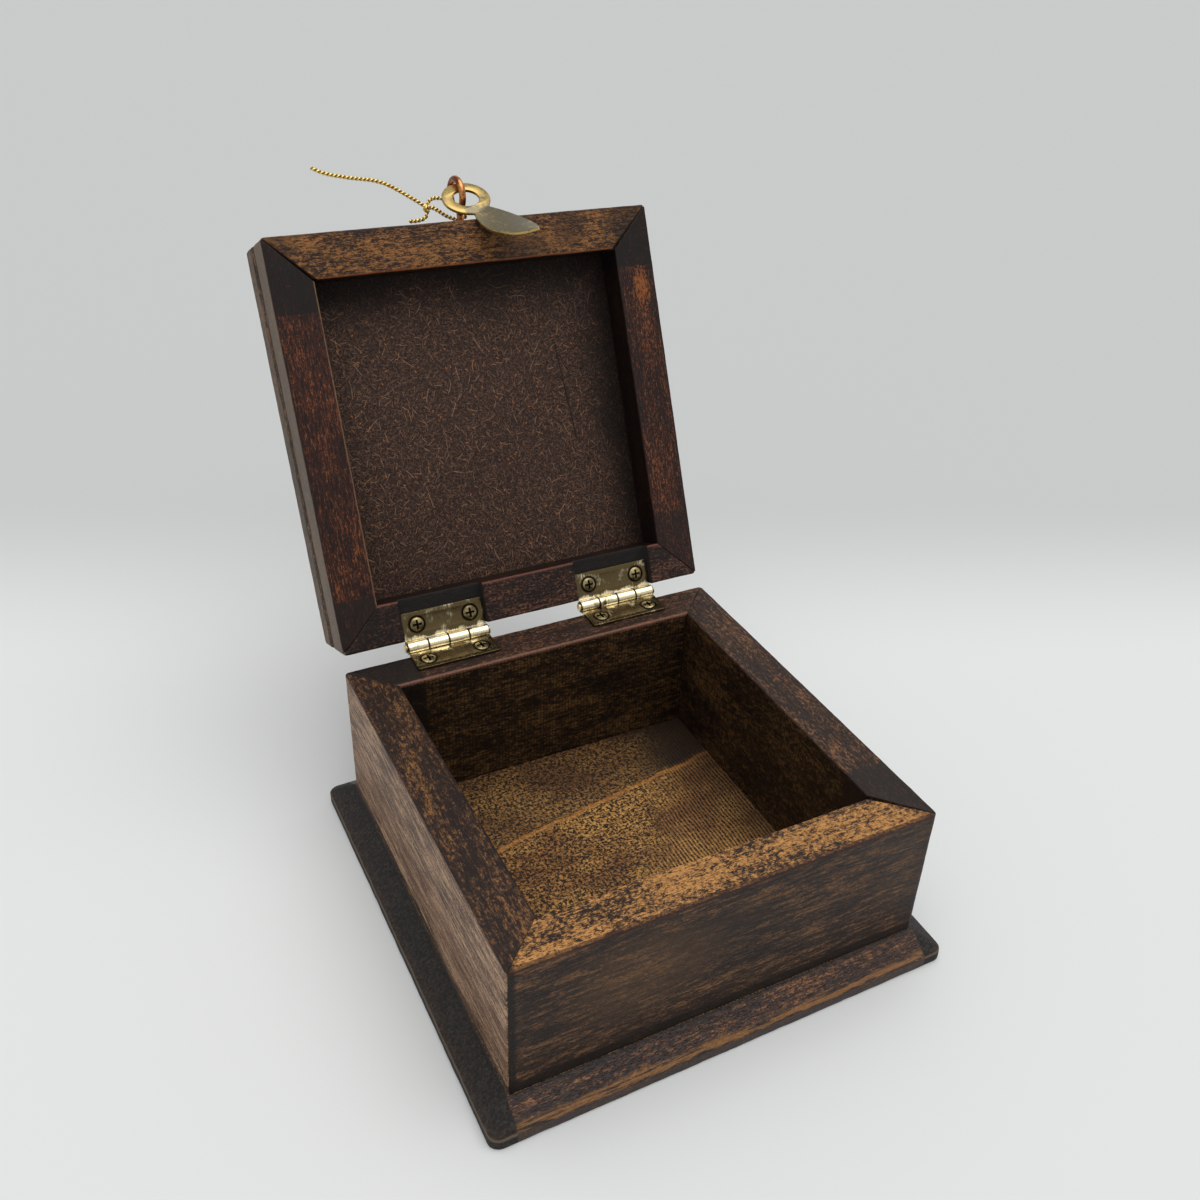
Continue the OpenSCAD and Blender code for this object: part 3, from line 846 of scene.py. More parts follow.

# %% [markdown]
# The four walls stand on the plinth. The front wall's rim was wiped almost bare and shows golden
# flecks, while the others keep more of their stain. The outer faces are smoother and paler, the left
# one paler and greyer still with a painted sheen, and the insides are nearly as dark as the stain
# itself.

# %% Box walls
BLACK = "#120e0c"
WEAR = 0.06
INSIDE = look(0.5, "#38271b", "#73542f", "#150d09")
WALLS = {
    "front_wall": (0, BOX_W, BOX_D, (0.0, 0.09), [], dict(
        seed=1, fleck=1.0,
        looks=(look(0.64, "#4a2b18", "#b98449", "#1a100b", 1.2),
               look(0.42, "#483224", "#7d5939", "#1d1410", 6), INSIDE),
        layers=[(-1, 2.6, 0.8, 0.85, "#17110e")],
        blocks=[(-48.0, -48.9, 0.95, BLACK), (44, 49, 0.6, "#221713")],
        patches=[((-4, 0, 24), (13, 30, 8), 0.5, "#241a15"),
                 ((-20, 0, 20), (20, 3, 14), 0.25, "#6a4d33")],
        edges=[(OUTER, 1.1, 0.75, "#33180f")])),
    "right_wall": (90, BOX_D, BOX_W, (0.09, 0.0), [], dict(
        seed=2, fleck=0.7, outer_blocks=False,
        looks=(look(0.4, "#3d281c", "#8c613c"), look(0.4, "#4a3626", "#7a5534", length=5), INSIDE),
        blocks=[(-31.0, -31.8, 0.85, "#1a1311")],
        edges=[(OUTER, 0.9, 0.6, "#2a1610"), (INNER, 0.6, 0.5, "#2a1610")])),
    "back_wall": (180, BOX_W, BOX_D, (0.0, 0.0), [], dict(
        seed=3, fleck=0.7, outer_blocks=False,
        looks=(look(0.4, "#3d2519", "#80583c"), look(0.4, "#4a3626", "#7a5534", length=5), INSIDE),
        blocks=[(32.5, 34.0, 0.92, BLACK)],
        edges=[(INNER, 0.9, 0.4, "#a06e58")])),
    "left_wall": (-90, BOX_D, BOX_W, (0.0, 0.0), [], dict(
        seed=4, fleck=1.0, outer_blocks=False,
        looks=(look(0.45, "#3b261b", "#7f5830"),
               # the left outer face's pale grey-brown colours are a painted sheen of the bright
               # surroundings
               look(0.54, "#9c7b60", "#c8a585", "#4a3123", 9), INSIDE),
        layers=[(1.6, 15, 7, 0.35, "#6b4528"), (-1, 1.6, 0.8, 0.7, "#1c1411")],
        blocks=[(48.0, 49.0, 0.92, BLACK)],
        edges=[(OUTER, 0.7, 0.4, "#2a1610"), (INNER, 0.7, 0.5, "#1d100c")])),
}


def add_board(node, name, turn, points, own, faces, body, shift, finish, nicks, placed=None):
    points = turned(worn(points, own, finish["seed"], WEAR, nicks), turn, shift)
    piece = mesh_piece(name, points, faces, body, own, placed=placed)
    piece.data.materials.append(board_finish(name + "_stain", **finish))
    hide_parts(node)
    print(name, len(points), "points")
    return piece


for node, (turn, length, depth, gaps, nicks, finish) in WALLS.items():
    points, own, faces = board(length, depth, wall_section, WALL_T, gaps)
    add_board(node, node + "_board", turn, points, own, faces, "box", (0, 0, PLINTH_TOP),
              dict(finish, band=WALL_T, lift_from=WALL_H, lift_way=-1, saw_marks=0.45), nicks)

# %% [markdown]
# The lid's rails have the same mitres. The back rail has two wide slots for the hinge leaves. On
# the mating face, the side rails are black near the top corners, where the stain ran together. The
# lid's outer faces were wiped paler between the groove and the mating face.

# %% Lid rails
SLOT_DEPTH, SLOT_DARK = 2.15, 2.7
SLOT_HALF = 11.0
NO_RIM = 200.0
HINGE_X = (-22.95, 24.7)
LID_SIDE = look(0.5, "#5a4230", "#8a6d50", "#2c2018", 3)
LID_INSIDE = look(0.25, "#25150e", "#4a2c1a", "#0f0907")
LID_LAYERS = [(0.2, 8.6, 0.5, 0.35, "#7d6b59"), (9.6, 12.6, 0.7, 0.6, "#3b322c")]
RAILS = {
    "lid_front_rail": (0, LID_W, LID_D, (0.07, 0.07), [], dict(
        seed=5, fleck=0.7,
        looks=(look(0.6, "#533320", "#976636", "#24160f", 2.4), LID_SIDE, LID_INSIDE),
        layers=LID_LAYERS,
        patches=[((27, 4, 0), (5, 6, 2), 0.6, "#1d1210"), ((44, 4, 0), (8, 8, 2), 0.7, "#1a110e"),
                 # the first patch here, at x 14 on the mating face, is a painted shadow cast by the drop
                 # pull's tongue
                 ((14, 8, 0), (9, 5, 2), 0.6, "#20140f"), ((-46, 3, 0), (5, 5, 3), 0.5, "#2a1a12")],
        edges=[(OUTER, 0.8, 0.5, "#2a1811"), (INNER, 0.5, 0.6, "#8c4a22")])),
    "lid_right_rail": (90, LID_D, LID_W, (0.04, 0.0), [], dict(
        seed=6, fleck=0.6,
        looks=(look(0.38, "#42221a", "#8a5028", "#150d0a"), LID_SIDE, LID_INSIDE),
        layers=LID_LAYERS,
        blocks=[(-34.1, -34.4, 0.92, BLACK), (30.8, 31.4, 0.6, "#1d1411")],
        wiped=[((-29, 4, 0), (5, 3, 2), 0.45)],
        edges=[(OUTER, 0.7, 0.6, "#24130e"), (INNER, 0.6, 0.5, "#1d100c")])),
    "lid_back_rail": (180, LID_W, LID_D, (0.0, 0.0), [], dict(
        seed=7, fleck=0.7,
        looks=(look(0.42, "#33201a", "#7e5440", "#120b09", 1.2), LID_SIDE, LID_INSIDE),
        layers=LID_LAYERS,
        blocks=[(38, 40, 0.5, BLACK)],
        edges=[(INNER, 0.7, 0.4, "#8a5040")], gloss=0.45)),
    "lid_left_rail": (-90, LID_D, LID_W, (0.0, 0.05), [((-49.4, 0, 0), 3.0, 0.8)], dict(
        seed=8, fleck=0.6,
        looks=(look(0.36, "#48231a", "#8c5227", "#170d0a", 3.2), LID_SIDE, LID_INSIDE),
        layers=LID_LAYERS,
        blocks=[(31.5, 31.8, 0.94, BLACK), (-36.2, -36.6, 0.88, "#1c1411")],
        wiped=[((-22, 5, 0), (12, 5, 2), 0.1)],
        edges=[(OUTER, 0.6, 0.6, "#24130e"), (INNER, 0.45, 0.7, "#8a6a50")])),
}


def blackened(rail, own, slots):
    """Gives the faces that lie in the slots a near-black finish."""
    black = look(0.2, "#1c1512", "#33241c", "#0c0908")
    rail.data.materials.append(board_finish("slot_stain", 12, (black,) * 3, NO_RIM, gloss=0.6))
    for face in rail.data.polygons:
        held = [own[v] for v in face.vertices]
        for low, high in slots:
            if all(low - 0.1 < x < high + 0.1 and z < SLOT_DARK for x, _, z in held):
                face.material_index = 1


for node, (turn, length, depth, gaps, nicks, finish) in RAILS.items():
    slots = [(-x - SLOT_HALF, -x + SLOT_HALF) for x in HINGE_X] if node == "lid_back_rail" else []
    points, own, faces = board(length, depth, rail_section, RAIL_W, gaps, slots, SLOT_DEPTH)
    rail = add_board(node, node + "_board", turn, points, own, faces, "lid", (0, LID_Y, LID_Z),
                     dict(finish, band=RAIL_W, outer_blocks=False), nicks, to_open_lid)
    if slots:
        blackened(rail, own, slots)

# %% [markdown]
# ## The plinth
# The plinth is one board under the box. Its top is also the floor of the box. It was sawn and left
# rough inside, with fine ribs across its right half, and outside its edge is sanded to a slope with
# a small round nose. It is made of rounded rectangles, one for each point of the edge's section.

# %% Plinth mesh
PLINTH_OUT = 6.0
PLINTH_EDGE_H = 2.9
PLINTH_CORNER_R = 2.5
NOSE_R, FOOT_R = 0.8, 0.4
SLOPE_STEPS = 6
OUTLINE_STEP = 1.0
ROUGHNESS = 0.12


def plinth_profile():
    """(How far out from the wall, how high), from the foot up to the wall."""
    made = [(PLINTH_OUT - FOOT_R + FOOT_R * math.sin(t), FOOT_R - FOOT_R * math.cos(t))
            for t in np.linspace(0, math.pi / 2, 4)]
    turn = math.pi / 2 - math.atan((PLINTH_TOP - PLINTH_EDGE_H) / PLINTH_OUT)
    high = PLINTH_EDGE_H - NOSE_R * math.tan(turn / 2)
    made.append((PLINTH_OUT, 1.2))
    made += [(PLINTH_OUT - NOSE_R + NOSE_R * math.cos(t), high + NOSE_R * math.sin(t))
             for t in np.linspace(0, turn, 5)]
    start = np.array(made[-1])
    slope = np.array([0, PLINTH_TOP]) - start
    made += [tuple(start + slope * k / SLOPE_STEPS) for k in range(1, SLOPE_STEPS + 1)]
    return made


def round_rectangle(w, d, r, arc=4):
    """Points round a rectangle, as many for every size, so that rectangles join up as rings."""
    sides = [round((size + 2 * PLINTH_OUT) / OUTLINE_STEP) for size in (BOX_W, BOX_D)]
    made = []
    for k, (cx, cy, start) in enumerate(((1, -1, -90), (1, 1, 0), (-1, 1, 90), (-1, -1, 180))):
        middle = np.array([cx * (w / 2 - r), cy * (d / 2 - r)])
        for t in np.radians(np.linspace(start, start + 90, arc + 1)):
            made.append(middle + r * np.array([math.cos(t), math.sin(t)]))
        nx, ny = ((1, 1), (-1, 1), (-1, -1), (1, -1))[k]
        after = np.array([nx * (w / 2 - r), ny * (d / 2 - r)]) + r * np.array(
            [math.cos(math.radians(start + 90)), math.sin(math.radians(start + 90))])
        count = sides[(k + 1) % 2]
        begin = made[-1]
        made += [begin + (after - begin) * j / count for j in range(1, count)]
    return made


def plinth_mesh():
    points = []
    profile = plinth_profile()
    for out, up in profile:
        r = max(0.1, PLINTH_CORNER_R * out / PLINTH_OUT)
        for x, y in round_rectangle(BOX_W + 2 * out, BOX_D + 2 * out, r):
            points.append((x, y, up))
    sides = len(points) // len(profile)
    return points, ring_faces(len(profile), sides)


plinth_points, plinth_faces = plinth_mesh()
dents = [Vector(p) + noise.noise_vector(Vector(p) * 0.35) * ROUGHNESS * (0 < p[2] < PLINTH_TOP - 0.1)
         for p in plinth_points]
half_w, half_d = BOX_W / 2 + PLINTH_OUT, BOX_D / 2 + PLINTH_OUT
dents = [(max(-half_w, min(half_w, p[0])), max(-half_d, min(half_d, p[1])), p[2]) for p in dents]
plinth = mesh_piece("plinth", dents, plinth_faces, "box", plinth_points)
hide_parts("plinth_board")
print("plinth", len(plinth_points), "points")

# %% [markdown]
# The plinth has two finishes. The floor of the box is golden brown with saw ribs and a fine
# cross-hatch. It is darker behind a seam that runs slantwise, with painted shade towards the right
# wall that is nearly black in its back right corner. The edge outside has a painted highlight streaked
# along the front, and it is rough and black on the left end grain.

# %% Box floor finish
RIB_PITCH = 0.95
SEAM_Y, SEAM_SLANT = 17.2, 0.16
CRACKS = ((-30, 0.10, -3.0), (10, 0.16, -23.5), (-15, 0.05, -33.0))


def saw_texture(tree, at, x, y, wavy):
    """Ribs on the right and a cross-hatch on the left, dark between them and pale on top."""
    ribs = times(tree, total(tree, (x, 1.0), (wavy, 1.6)), 2 * math.pi / RIB_PITCH)
    ribs = rises(tree, maths(tree, "SINE", ribs), -0.6, 0.8)
    hatch = cloud(tree, at, (0.9, 1.9, 1), 3, 0.75)
    hatch_across = cloud(tree, at, (1.9, 0.8, 1), 3, 0.75)
    where = rises(tree, total(tree, (x, 1.0), (y, -0.5), (wavy, 30)), 2, 22, 0, 0.6)
    rough = rises(tree, total(tree, (hatch, 0.55), (hatch_across, 0.45)), 0.455, 0.55)
    return maths(tree, "ADD", times(tree, ribs, where),
                 times(tree, rough, maths(tree, "SUBTRACT", 1.0, where)))


def with_cracks(tree, shown, x, y, wavy):
    """Short dark cracks, each from (its middle, its slant, its place in depth)."""
    for middle, slant, depth in CRACKS:
        off = maths(tree, "ABSOLUTE", total(tree, (y, 1.0), (x, -slant), (wavy, 4.0), (depth, -1.0)))
        reach = maths(tree, "ABSOLUTE", maths(tree, "SUBTRACT", x, middle))
        crack = times(tree, rises(tree, off, 0.22, 0.08), rises(tree, reach, 14, 8))
        shown = tinted(tree, shown, crack, 0.85, "#140d09")
    return shown


def floor_finish():
    material, tree, shader = new_material("box_floor_stain")
    at = own_place(tree)
    x, y, _ = put(tree, "SeparateXYZ", Vector=at).outputs
    wavy = maths(tree, "SUBTRACT", cloud(tree, at, (0.12, 0.12, 0.12), 3), 0.5)
    sawn = saw_texture(tree, at, x, y, wavy)
    tones = cloud(tree, at, (0.05, 0.09, 0.1), 3)
    golden = blended(tree, rises(tree, tones, 0.35, 0.65), colour("#835931"), colour("#bb8b4c"))
    shown = blended(tree, sawn, colour("#160c07"), golden)
    seam = total(tree, (y, 1.0), (x, -SEAM_SLANT), (wavy, 3.0))
    shown = tinted(tree, shown, rises(tree, seam, SEAM_Y, SEAM_Y + 1), 0.42, "#2e2018")
    line = times(tree, rises(tree, seam, SEAM_Y - 1, SEAM_Y - 0.2),
                 rises(tree, seam, SEAM_Y + 1, SEAM_Y + 0.2))
    shown = tinted(tree, shown, line, 0.5, "#b87a3c")
    # painted shade: nearly black in the back right corner, behind the seam
    back_right_corner_shade = times(tree, rises(tree, total(tree, (x, 1.0), (wavy, 12)), 16, 30),
                   rises(tree, seam, SEAM_Y + 0.2, SEAM_Y + 2.3))
    shown = tinted(tree, shown, back_right_corner_shade, 0.8, "#1b1411")
    # painted shade: darker towards the right wall
    right = rises(tree, total(tree, (x, 1.0), (wavy, 6)), 26, 39)
    shown = tinted(tree, shown, right, 0.6, "#2c1a10")
    shown = with_cracks(tree, shown, x, y, wavy)
    finished(tree, shader, shown, 0.62, 0.3, sawn, 0.7)
    return material


print("floor with", len(CRACKS), "cracks")

# %% Plinth edge finish
def plinth_finish():
    material, tree, shader = new_material("plinth_edge_stain")
    at = own_place(tree)
    x, _, z = put(tree, "SeparateXYZ", Vector=at).outputs
    above = maths(tree, "SUBTRACT", z, PLINTH_EDGE_H)
    figure = group_in(tree, STAINED, At=at, Seed=11.0, Wipe=0.38, Mid=colour("#46291d"),
                      Gold=colour("#8f6036"), Dark=colour("#1a100c"), Fleck=0.8, Length=2.5)
    ragged = maths(tree, "SUBTRACT", cloud(tree, at, (0.15, 0.8, 0.8), 3), 0.5)
    height = total(tree, (above, 1.0), (ragged, 1.8))
    # painted highlight: a golden streak along the nose, where the edge turns down
    nose_highlight = times(tree, rises(tree, height, -0.2, 0.2), rises(tree, height, 1.3, 0.5))
    nose_highlight = times(tree, nose_highlight, rises(tree, cloud(tree, at, (0.09, 1.5, 1.5), 3), 0.36, 0.52))
    shown = tinted(tree, figure["Color"], nose_highlight, 0.5, "#a8743a")
    shown = tinted(tree, shown, rises(tree, above, -0.2, -0.8), 0.7, "#33211c")
    shown = tinted(tree, shown, rises(tree, above, 3.3, 3.8), 0.8, "#171110")
    end_grain = rises(tree, maths(tree, "ABSOLUTE", x), BOX_W / 2 + 0.2, BOX_W / 2 + 0.6)
    rough = cloud(tree, at, (1.4, 1.4, 1.4), 4, 0.75)
    black = blended(tree, rises(tree, rough, 0.42, 0.62), colour("#080707"), colour("#302c2a"))
    shown = blended(tree, times(tree, end_grain, 0.92), shown, black)
    nose = times(tree, rises(tree, above, -0.7, -0.4), rises(tree, above, 0.2, -0.1))
    shown = tinted(tree, shown, times(tree, nose, end_grain), 0.6, "#7a6753")
    relief = total(tree, (figure["Height"], 1.0), (times(tree, rough, end_grain), 1.2))
    gloss = rises(tree, end_grain, 0, 1, 0.42, 0.72)
    finished(tree, shader, shown, gloss, 0.4, relief, 0.7, depth=0.0003)
    return material


plinth.data.materials.append(plinth_finish())
plinth.data.materials.append(floor_finish())
for face in plinth.data.polygons:
    face.material_index = int(face.center[2] > (PLINTH_TOP - 0.01) * MM)
print("plinth finished")

# %% [markdown]
# ## The lid's panel and its top board
# The panel that shows inside the lid is hardboard: brown wood fibre pressed flat. Its fibres show as
# countless short curved lines. A cell pattern gives each fibre a middle and a chance number. The
# number turns the fibre, bends it and says whether it shows. Several layers of different sizes are
# laid over each other, as in the real board.

# %% Fibre layer group
def fibre_layer():
    tree, given, made = new_group(
        "fibre_layer",
        [("Vector", "At", None), ("Float", "Seed", 0.0), ("Float", "Size", 2.0),
         ("Float", "Width", 0.05), ("Float", "Bend", 1.0), ("Float", "Cut", 0.2)],
        [("Float", "Mask")])
    at = seeded(tree, given["At"], given["Seed"])
    small = grown(tree, at, maths(tree, "DIVIDE", 1.0, given["Size"]))
    cell = put(tree, "TexVoronoi", voronoi_dimensions="2D", Vector=small, Scale=1.0).outputs
    away = vectors(tree, "SUBTRACT", small, cell["Position"])
    chance = put(tree, "SeparateColor", Color=cell["Color"]).outputs
    spin = put(tree, "VectorRotate", rotation_type="Z_AXIS", Vector=away,
               Angle=times(tree, chance[0], 2 * math.pi))
    length, side, _ = put(tree, "SeparateXYZ", Vector=spin.outputs[0]).outputs
    bow = times(tree, maths(tree, "SUBTRACT", chance[1], 0.5), given["Bend"])
    curve = times(tree, times(tree, length, length), bow)
    off = maths(tree, "ABSOLUTE", maths(tree, "ADD", side, curve))
    line = rises(tree, off, given["Width"], times(tree, given["Width"], 0.3))
    line = times(tree, line, rises(tree, maths(tree, "ABSOLUTE", length), 0.5, 0.32))
    shows = maths(tree, "GREATER_THAN", chance[2], given["Cut"])
    joined(tree, made["Mask"], times(tree, line, shows))
    return tree


FIBRES = fibre_layer()
FIBRE_LAYERS = [
    (1, 0.9, 0.12, 0.3, 0.15, 0.42, "#65493a"), (2, 1.1, 0.10, 0.4, 0.25, 0.45, "#745441"),
    (3, 0.8, 0.15, 0.3, 0.25, 0.7, "#130d0a"), (4, 1.0, 0.09, 0.4, 0.45, 0.5, "#82614a"),
    (5, 0.8, 0.11, 0.4, 0.60, 0.6, "#946e56"), (6, 1.6, 0.055, 0.5, 0.65, 0.65, "#a37a5e"),
    (7, 2.3, 0.04, 0.6, 0.78, 0.7, "#b08768"), (8, 4.2, 0.022, 0.9, 0.90, 0.7, "#b98f70"),
    (9, 0.8, 0.2, 0.5, 0.98, 0.85, "#b8703c"),
]
print("fibre group", len(FIBRES.nodes), "nodes,", len(FIBRE_LAYERS), "layers")

# %% Hardboard finish
SCRATCH_X, SCRATCH_Y, SCRATCH_SLANT = 23.75, -5.1, 0.083
SCRATCH_W, SCRATCH_HALF_L = 0.3, 13.5


def hardboard_finish():
    material, tree, shader = new_material("hardboard_pressed")
    at = own_place(tree)
    x, y, _ = put(tree, "SeparateXYZ", Vector=at).outputs
    felt = cloud(tree, at, (2.6, 2.6, 2.6), 4, 0.75)
    shade = cloud(tree, at, (0.05, 0.05, 0.05), 3)
    shown = blended(tree, rises(tree, felt, 0.36, 0.64), colour("#0c0807"), colour("#4d372e"))
    masks = []
    for seed, size, width, bend, cut, strength, tone in FIBRE_LAYERS:
        mask = group_in(tree, FIBRES, At=at, Seed=float(seed), Size=size, Width=width, Bend=bend,
                        Cut=cut)[0]
        shown = tinted(tree, shown, mask, strength, tone)
        masks.append(mask)
    # painted shade along the right and front rails, which stand over the panel's edges
    right_rail_shade = rises(tree, total(tree, (x, 1.0), (shade, 18.0)), 36, 48)
    front_rail_shade = rises(tree, total(tree, (y, -1.0), (shade, 18.0)), 34, 47)
    shown = tinted(tree, shown, highest(tree, right_rail_shade, front_rail_shade), 0.8, "#120d0b")
    off = total(tree, (x, 1.0), (y, -SCRATCH_SLANT), (felt, 0.5), (SCRATCH_X, -1.0))
    reach = maths(tree, "SUBTRACT", y, SCRATCH_Y)
    scratch = times(tree, rises(tree, maths(tree, "ABSOLUTE", off), SCRATCH_W, 0.12),
                    rises(tree, maths(tree, "ABSOLUTE", reach), SCRATCH_HALF_L, 12))
    shown = tinted(tree, shown, scratch, 0.85, "#0d0908")
    relief = total(tree, (felt, 0.5), (highest(tree, *masks), 0.5))
    finished(tree, shader, shown, 0.7, 0.25, relief, 0.5)
    return material


print("hardboard finish ready")

# %% Panel and top board
BOARD_FIT, SHEET_CORNER_R = 0.1, 0.3
TOP_T = LID_H - RECESS - PANEL_T


def flat_board(name, node, low, thick, edge, finish):
    """A flat board that lies in the step of the lid's rails, with softened edges."""
    w = LID_W - 2 * RAIL_W + 2 * STEP_W - 2 * BOARD_FIT
    d = LID_D - 2 * RAIL_W + 2 * STEP_W - 2 * BOARD_FIT
    profile = [(edge, 0), (0.3 * edge, 0.3 * edge), (0, edge), (0, thick - edge),
               (0.3 * edge, thick - 0.3 * edge), (edge, thick)]
    own = [(x, y, low + up) for drawn_in, up in profile
           for x, y in round_rectangle(w - 2 * drawn_in, d - 2 * drawn_in, SHEET_CORNER_R, arc=2)]
    points = [(x, y + LID_Y, z + LID_Z) for x, y, z in own]
    faces = ring_faces(len(profile), len(points) // len(profile))
    piece = mesh_piece(name, points, faces, "lid", own, placed=to_open_lid)
    piece.data.materials.append(finish)
    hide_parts(node)
    print(name, len(points), "points")


top_look = look(0.5, "#4a2c1b", "#8f5c30", length=3)
flat_board("lid_panel_sheet", "lid_panel", RECESS, PANEL_T, 0.15, hardboard_finish())
flat_board("lid_top_sheet", "lid_top_board", RECESS + PANEL_T, TOP_T, 0.35,
           board_finish("lid_top_stain", 9, (top_look,) * 3, NO_RIM, fleck=1.1))

# %% [markdown]
# ## Brass and copper
# The hinges are cheap pressed brass that has aged: olive where it is dull, pale gold where hands
# and lid rubbed it, and reddish brown in stains. The pull is smoother and greyer. One group makes
# the aged metal from clouds of three sizes, and each fitting sets its own colours.

# %% Aged metal
def aged_metal():
    tree, given, made = new_group(
        "aged_metal",
        [("Vector", "At", None), ("Float", "Seed", 0.0), ("Color", "Bright", colour("#e3cb86")),
         ("Color", "Dull", colour("#8a7a4a")), ("Color", "Stain", colour("#4b3322")),
         ("Float", "Rub", 0.5), ("Float", "Stains", 0.5)],
        [("Color", "Color"), ("Float", "Roughness"), ("Float", "Height")])
    at = seeded(tree, given["At"], given["Seed"])
    big = cloud(tree, at, (0.28, 0.28, 0.28), 2)
    small = cloud(tree, at, (1.3, 1.3, 1.3), 4, 0.7)
    brushed = cloud(tree, at, (6.0, 0.5, 0.5), 2)
    bright = rises(tree, total(tree, (big, 0.7), (brushed, 0.3), (given["Rub"], 0.3)), 0.58, 0.74)
    shown = blended(tree, bright, given["Dull"], given["Bright"])
    stains = rises(tree, total(tree, (small, 0.75), (big, -0.25), (given["Stains"], 0.2)), 0.38, 0.52)
    shown = blended(tree, times(tree, stains, 0.7), shown, given["Stain"])
    joined(tree, made["Color"], shown)
    joined(tree, made["Roughness"], total(tree, (small, 0.3), (stains, 0.25), (brushed, 0.3)))
    joined(tree, made["Height"], total(tree, (small, 0.25), (brushed, 0.2), (big, 0.8)))
    return tree


AGED = aged_metal()
print("metal group", len(AGED.nodes), "nodes")

# %% Metal finish
def metal_finish(name, seed, bright, dull, stain, rub, stains=0.5, relief=0.35, packed=False,
                 rubbed=None, shaded=None):
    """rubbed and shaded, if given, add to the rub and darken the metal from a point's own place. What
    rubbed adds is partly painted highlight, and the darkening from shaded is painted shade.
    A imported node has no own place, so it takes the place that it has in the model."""
    material, tree, shader = new_material(name)
    at = own_place(tree)
    if packed:
        at = scaled(tree, put(tree, "TexCoord").outputs["Object"], (1 / MM,) * 3)
    if rubbed:
        rub = maths(tree, "ADD", rubbed(tree, at), rub)
    aged = group_in(tree, AGED, At=at, Seed=seed, Bright=colour(bright), Dull=colour(dull),
                    Stain=colour(stain), Rub=rub, Stains=stains)
    shown = aged["Color"]
    if shaded:
        shown = blended(tree, shaded(tree, at), shown, colour(stain))
    shader.inputs["Metallic"].default_value = 1.0
    finished(tree, shader, shown, aged["Roughness"], 0.5, aged["Height"], relief)
    return material


def strand_groove_shade(tree, at):
    """Painted shade where a strand lies against the other one, from the angle that its points keep."""
    turn = put(tree, "SeparateXYZ", Vector=at).outputs[1]
    return rises(tree, repeated(tree, turn, 1.0), 0.12, 0.3, 0, 0.6)


GOLD = metal_finish("gold_filament", 3.0, "#ffe390", "#eeb750", "#6e470e", 0.9, 0.0, 0.2,
                    shaded=strand_groove_shade)
for piece in (thread, knot):
    piece.data.materials.append(GOLD)
print("metal finish ready")

# %% [markdown]
# ## Plates cut from sheet
# The hinge leaves and the pull are stamped from sheet brass. A flat curve with holes in it, given a
# thickness and a small bevel, is just such a blank, so each plate starts as one and becomes a mesh.

# %% Sheet blanks
CIRCLE_POINTS = 48


def blank(outlines, thick, bevel):
    """A plate's mesh from closed outlines in millimetres. Inner ones are holes."""
    curve = bpy.data.curves.new("blank", "CURVE")
    curve.dimensions, curve.fill_mode = "2D", "BOTH"
    curve.extrude, curve.bevel_depth = thick / 2 - bevel, bevel
    curve.bevel_resolution, curve.offset = 1, -bevel
    for outline in outlines:
        spline = curve.splines.new("POLY")
        spline.points.add(len(outline) - 1)
        for point, (x, y) in zip(spline.points, outline):
            point.co = (x, y, 0, 1)
        spline.use_cyclic_u = True
    shape = bpy.data.objects.new("blank", curve)
    mesh = bpy.data.meshes.new_from_object(shape)
    bpy.data.objects.remove(shape)
    bpy.data.curves.remove(curve)
    return mesh


def welded(mesh, cuts=()):
    """Points and faces of a mesh, its doubled points joined, cut across at the given heights."""
    work = bmesh.new()
    work.from_mesh(mesh)
    bmesh.ops.remove_doubles(work, verts=work.verts, dist=0.001)
    for y in cuts:
        every = work.verts[:] + work.edges[:] + work.faces[:]
        bmesh.ops.bisect_plane(work, geom=every, dist=0.0005, plane_co=(0, y, 0), plane_no=(0, 1, 0))
    bmesh.ops.recalc_face_normals(work, faces=work.faces)
    points = [tuple(v.co) for v in work.verts]
    faces = [tuple(v.index for v in f.verts) for f in work.faces]
    work.free()
    bpy.data.meshes.remove(mesh)
    return points, faces


def circle(x, y, r):
    return [(x + r * math.cos(t), y + r * math.sin(t))
            for t in np.linspace(0, 2 * math.pi, CIRCLE_POINTS, endpoint=False)]


def soft_edges(piece, degrees=35):
    piece.data.set_sharp_from_angle(angle=math.radians(degrees))


print("blanks ready")

# %% [markdown]
# ## Hinge leaves
# Each leaf is a plate with two screw holes, and every second stretch of its edge is rolled
# round the pin. The roll doesn't close quite, which leaves a thin dark seam beside the plate. The
# edges of these cheap leaves aren't straight, so they wave a little.

# %% Hinge leaf meshes
LEAF_L, LEAF_REACH, LEAF_T, LEAF_DOWN = 21.4, 8.7, 0.7, PIN_UP
LEAF_STEP, LEAF_CORNER_R, LEAF_CUT = 0.5, 0.35, 0.1
KNUCKLE_R, KNUCKLE_BORE, KNUCKLE_GAP = 1.6, 0.75, 0.12
KNUCKLE_ROOT, KNUCKLE_BEVEL = -1.8, 0.07
KNUCKLE_L = (LEAF_L - 3 * KNUCKLE_GAP) / 4
SCREW_SIDE, SCREW_BACK, SCREW_HOLE = 7.0, 5.4, 2.06


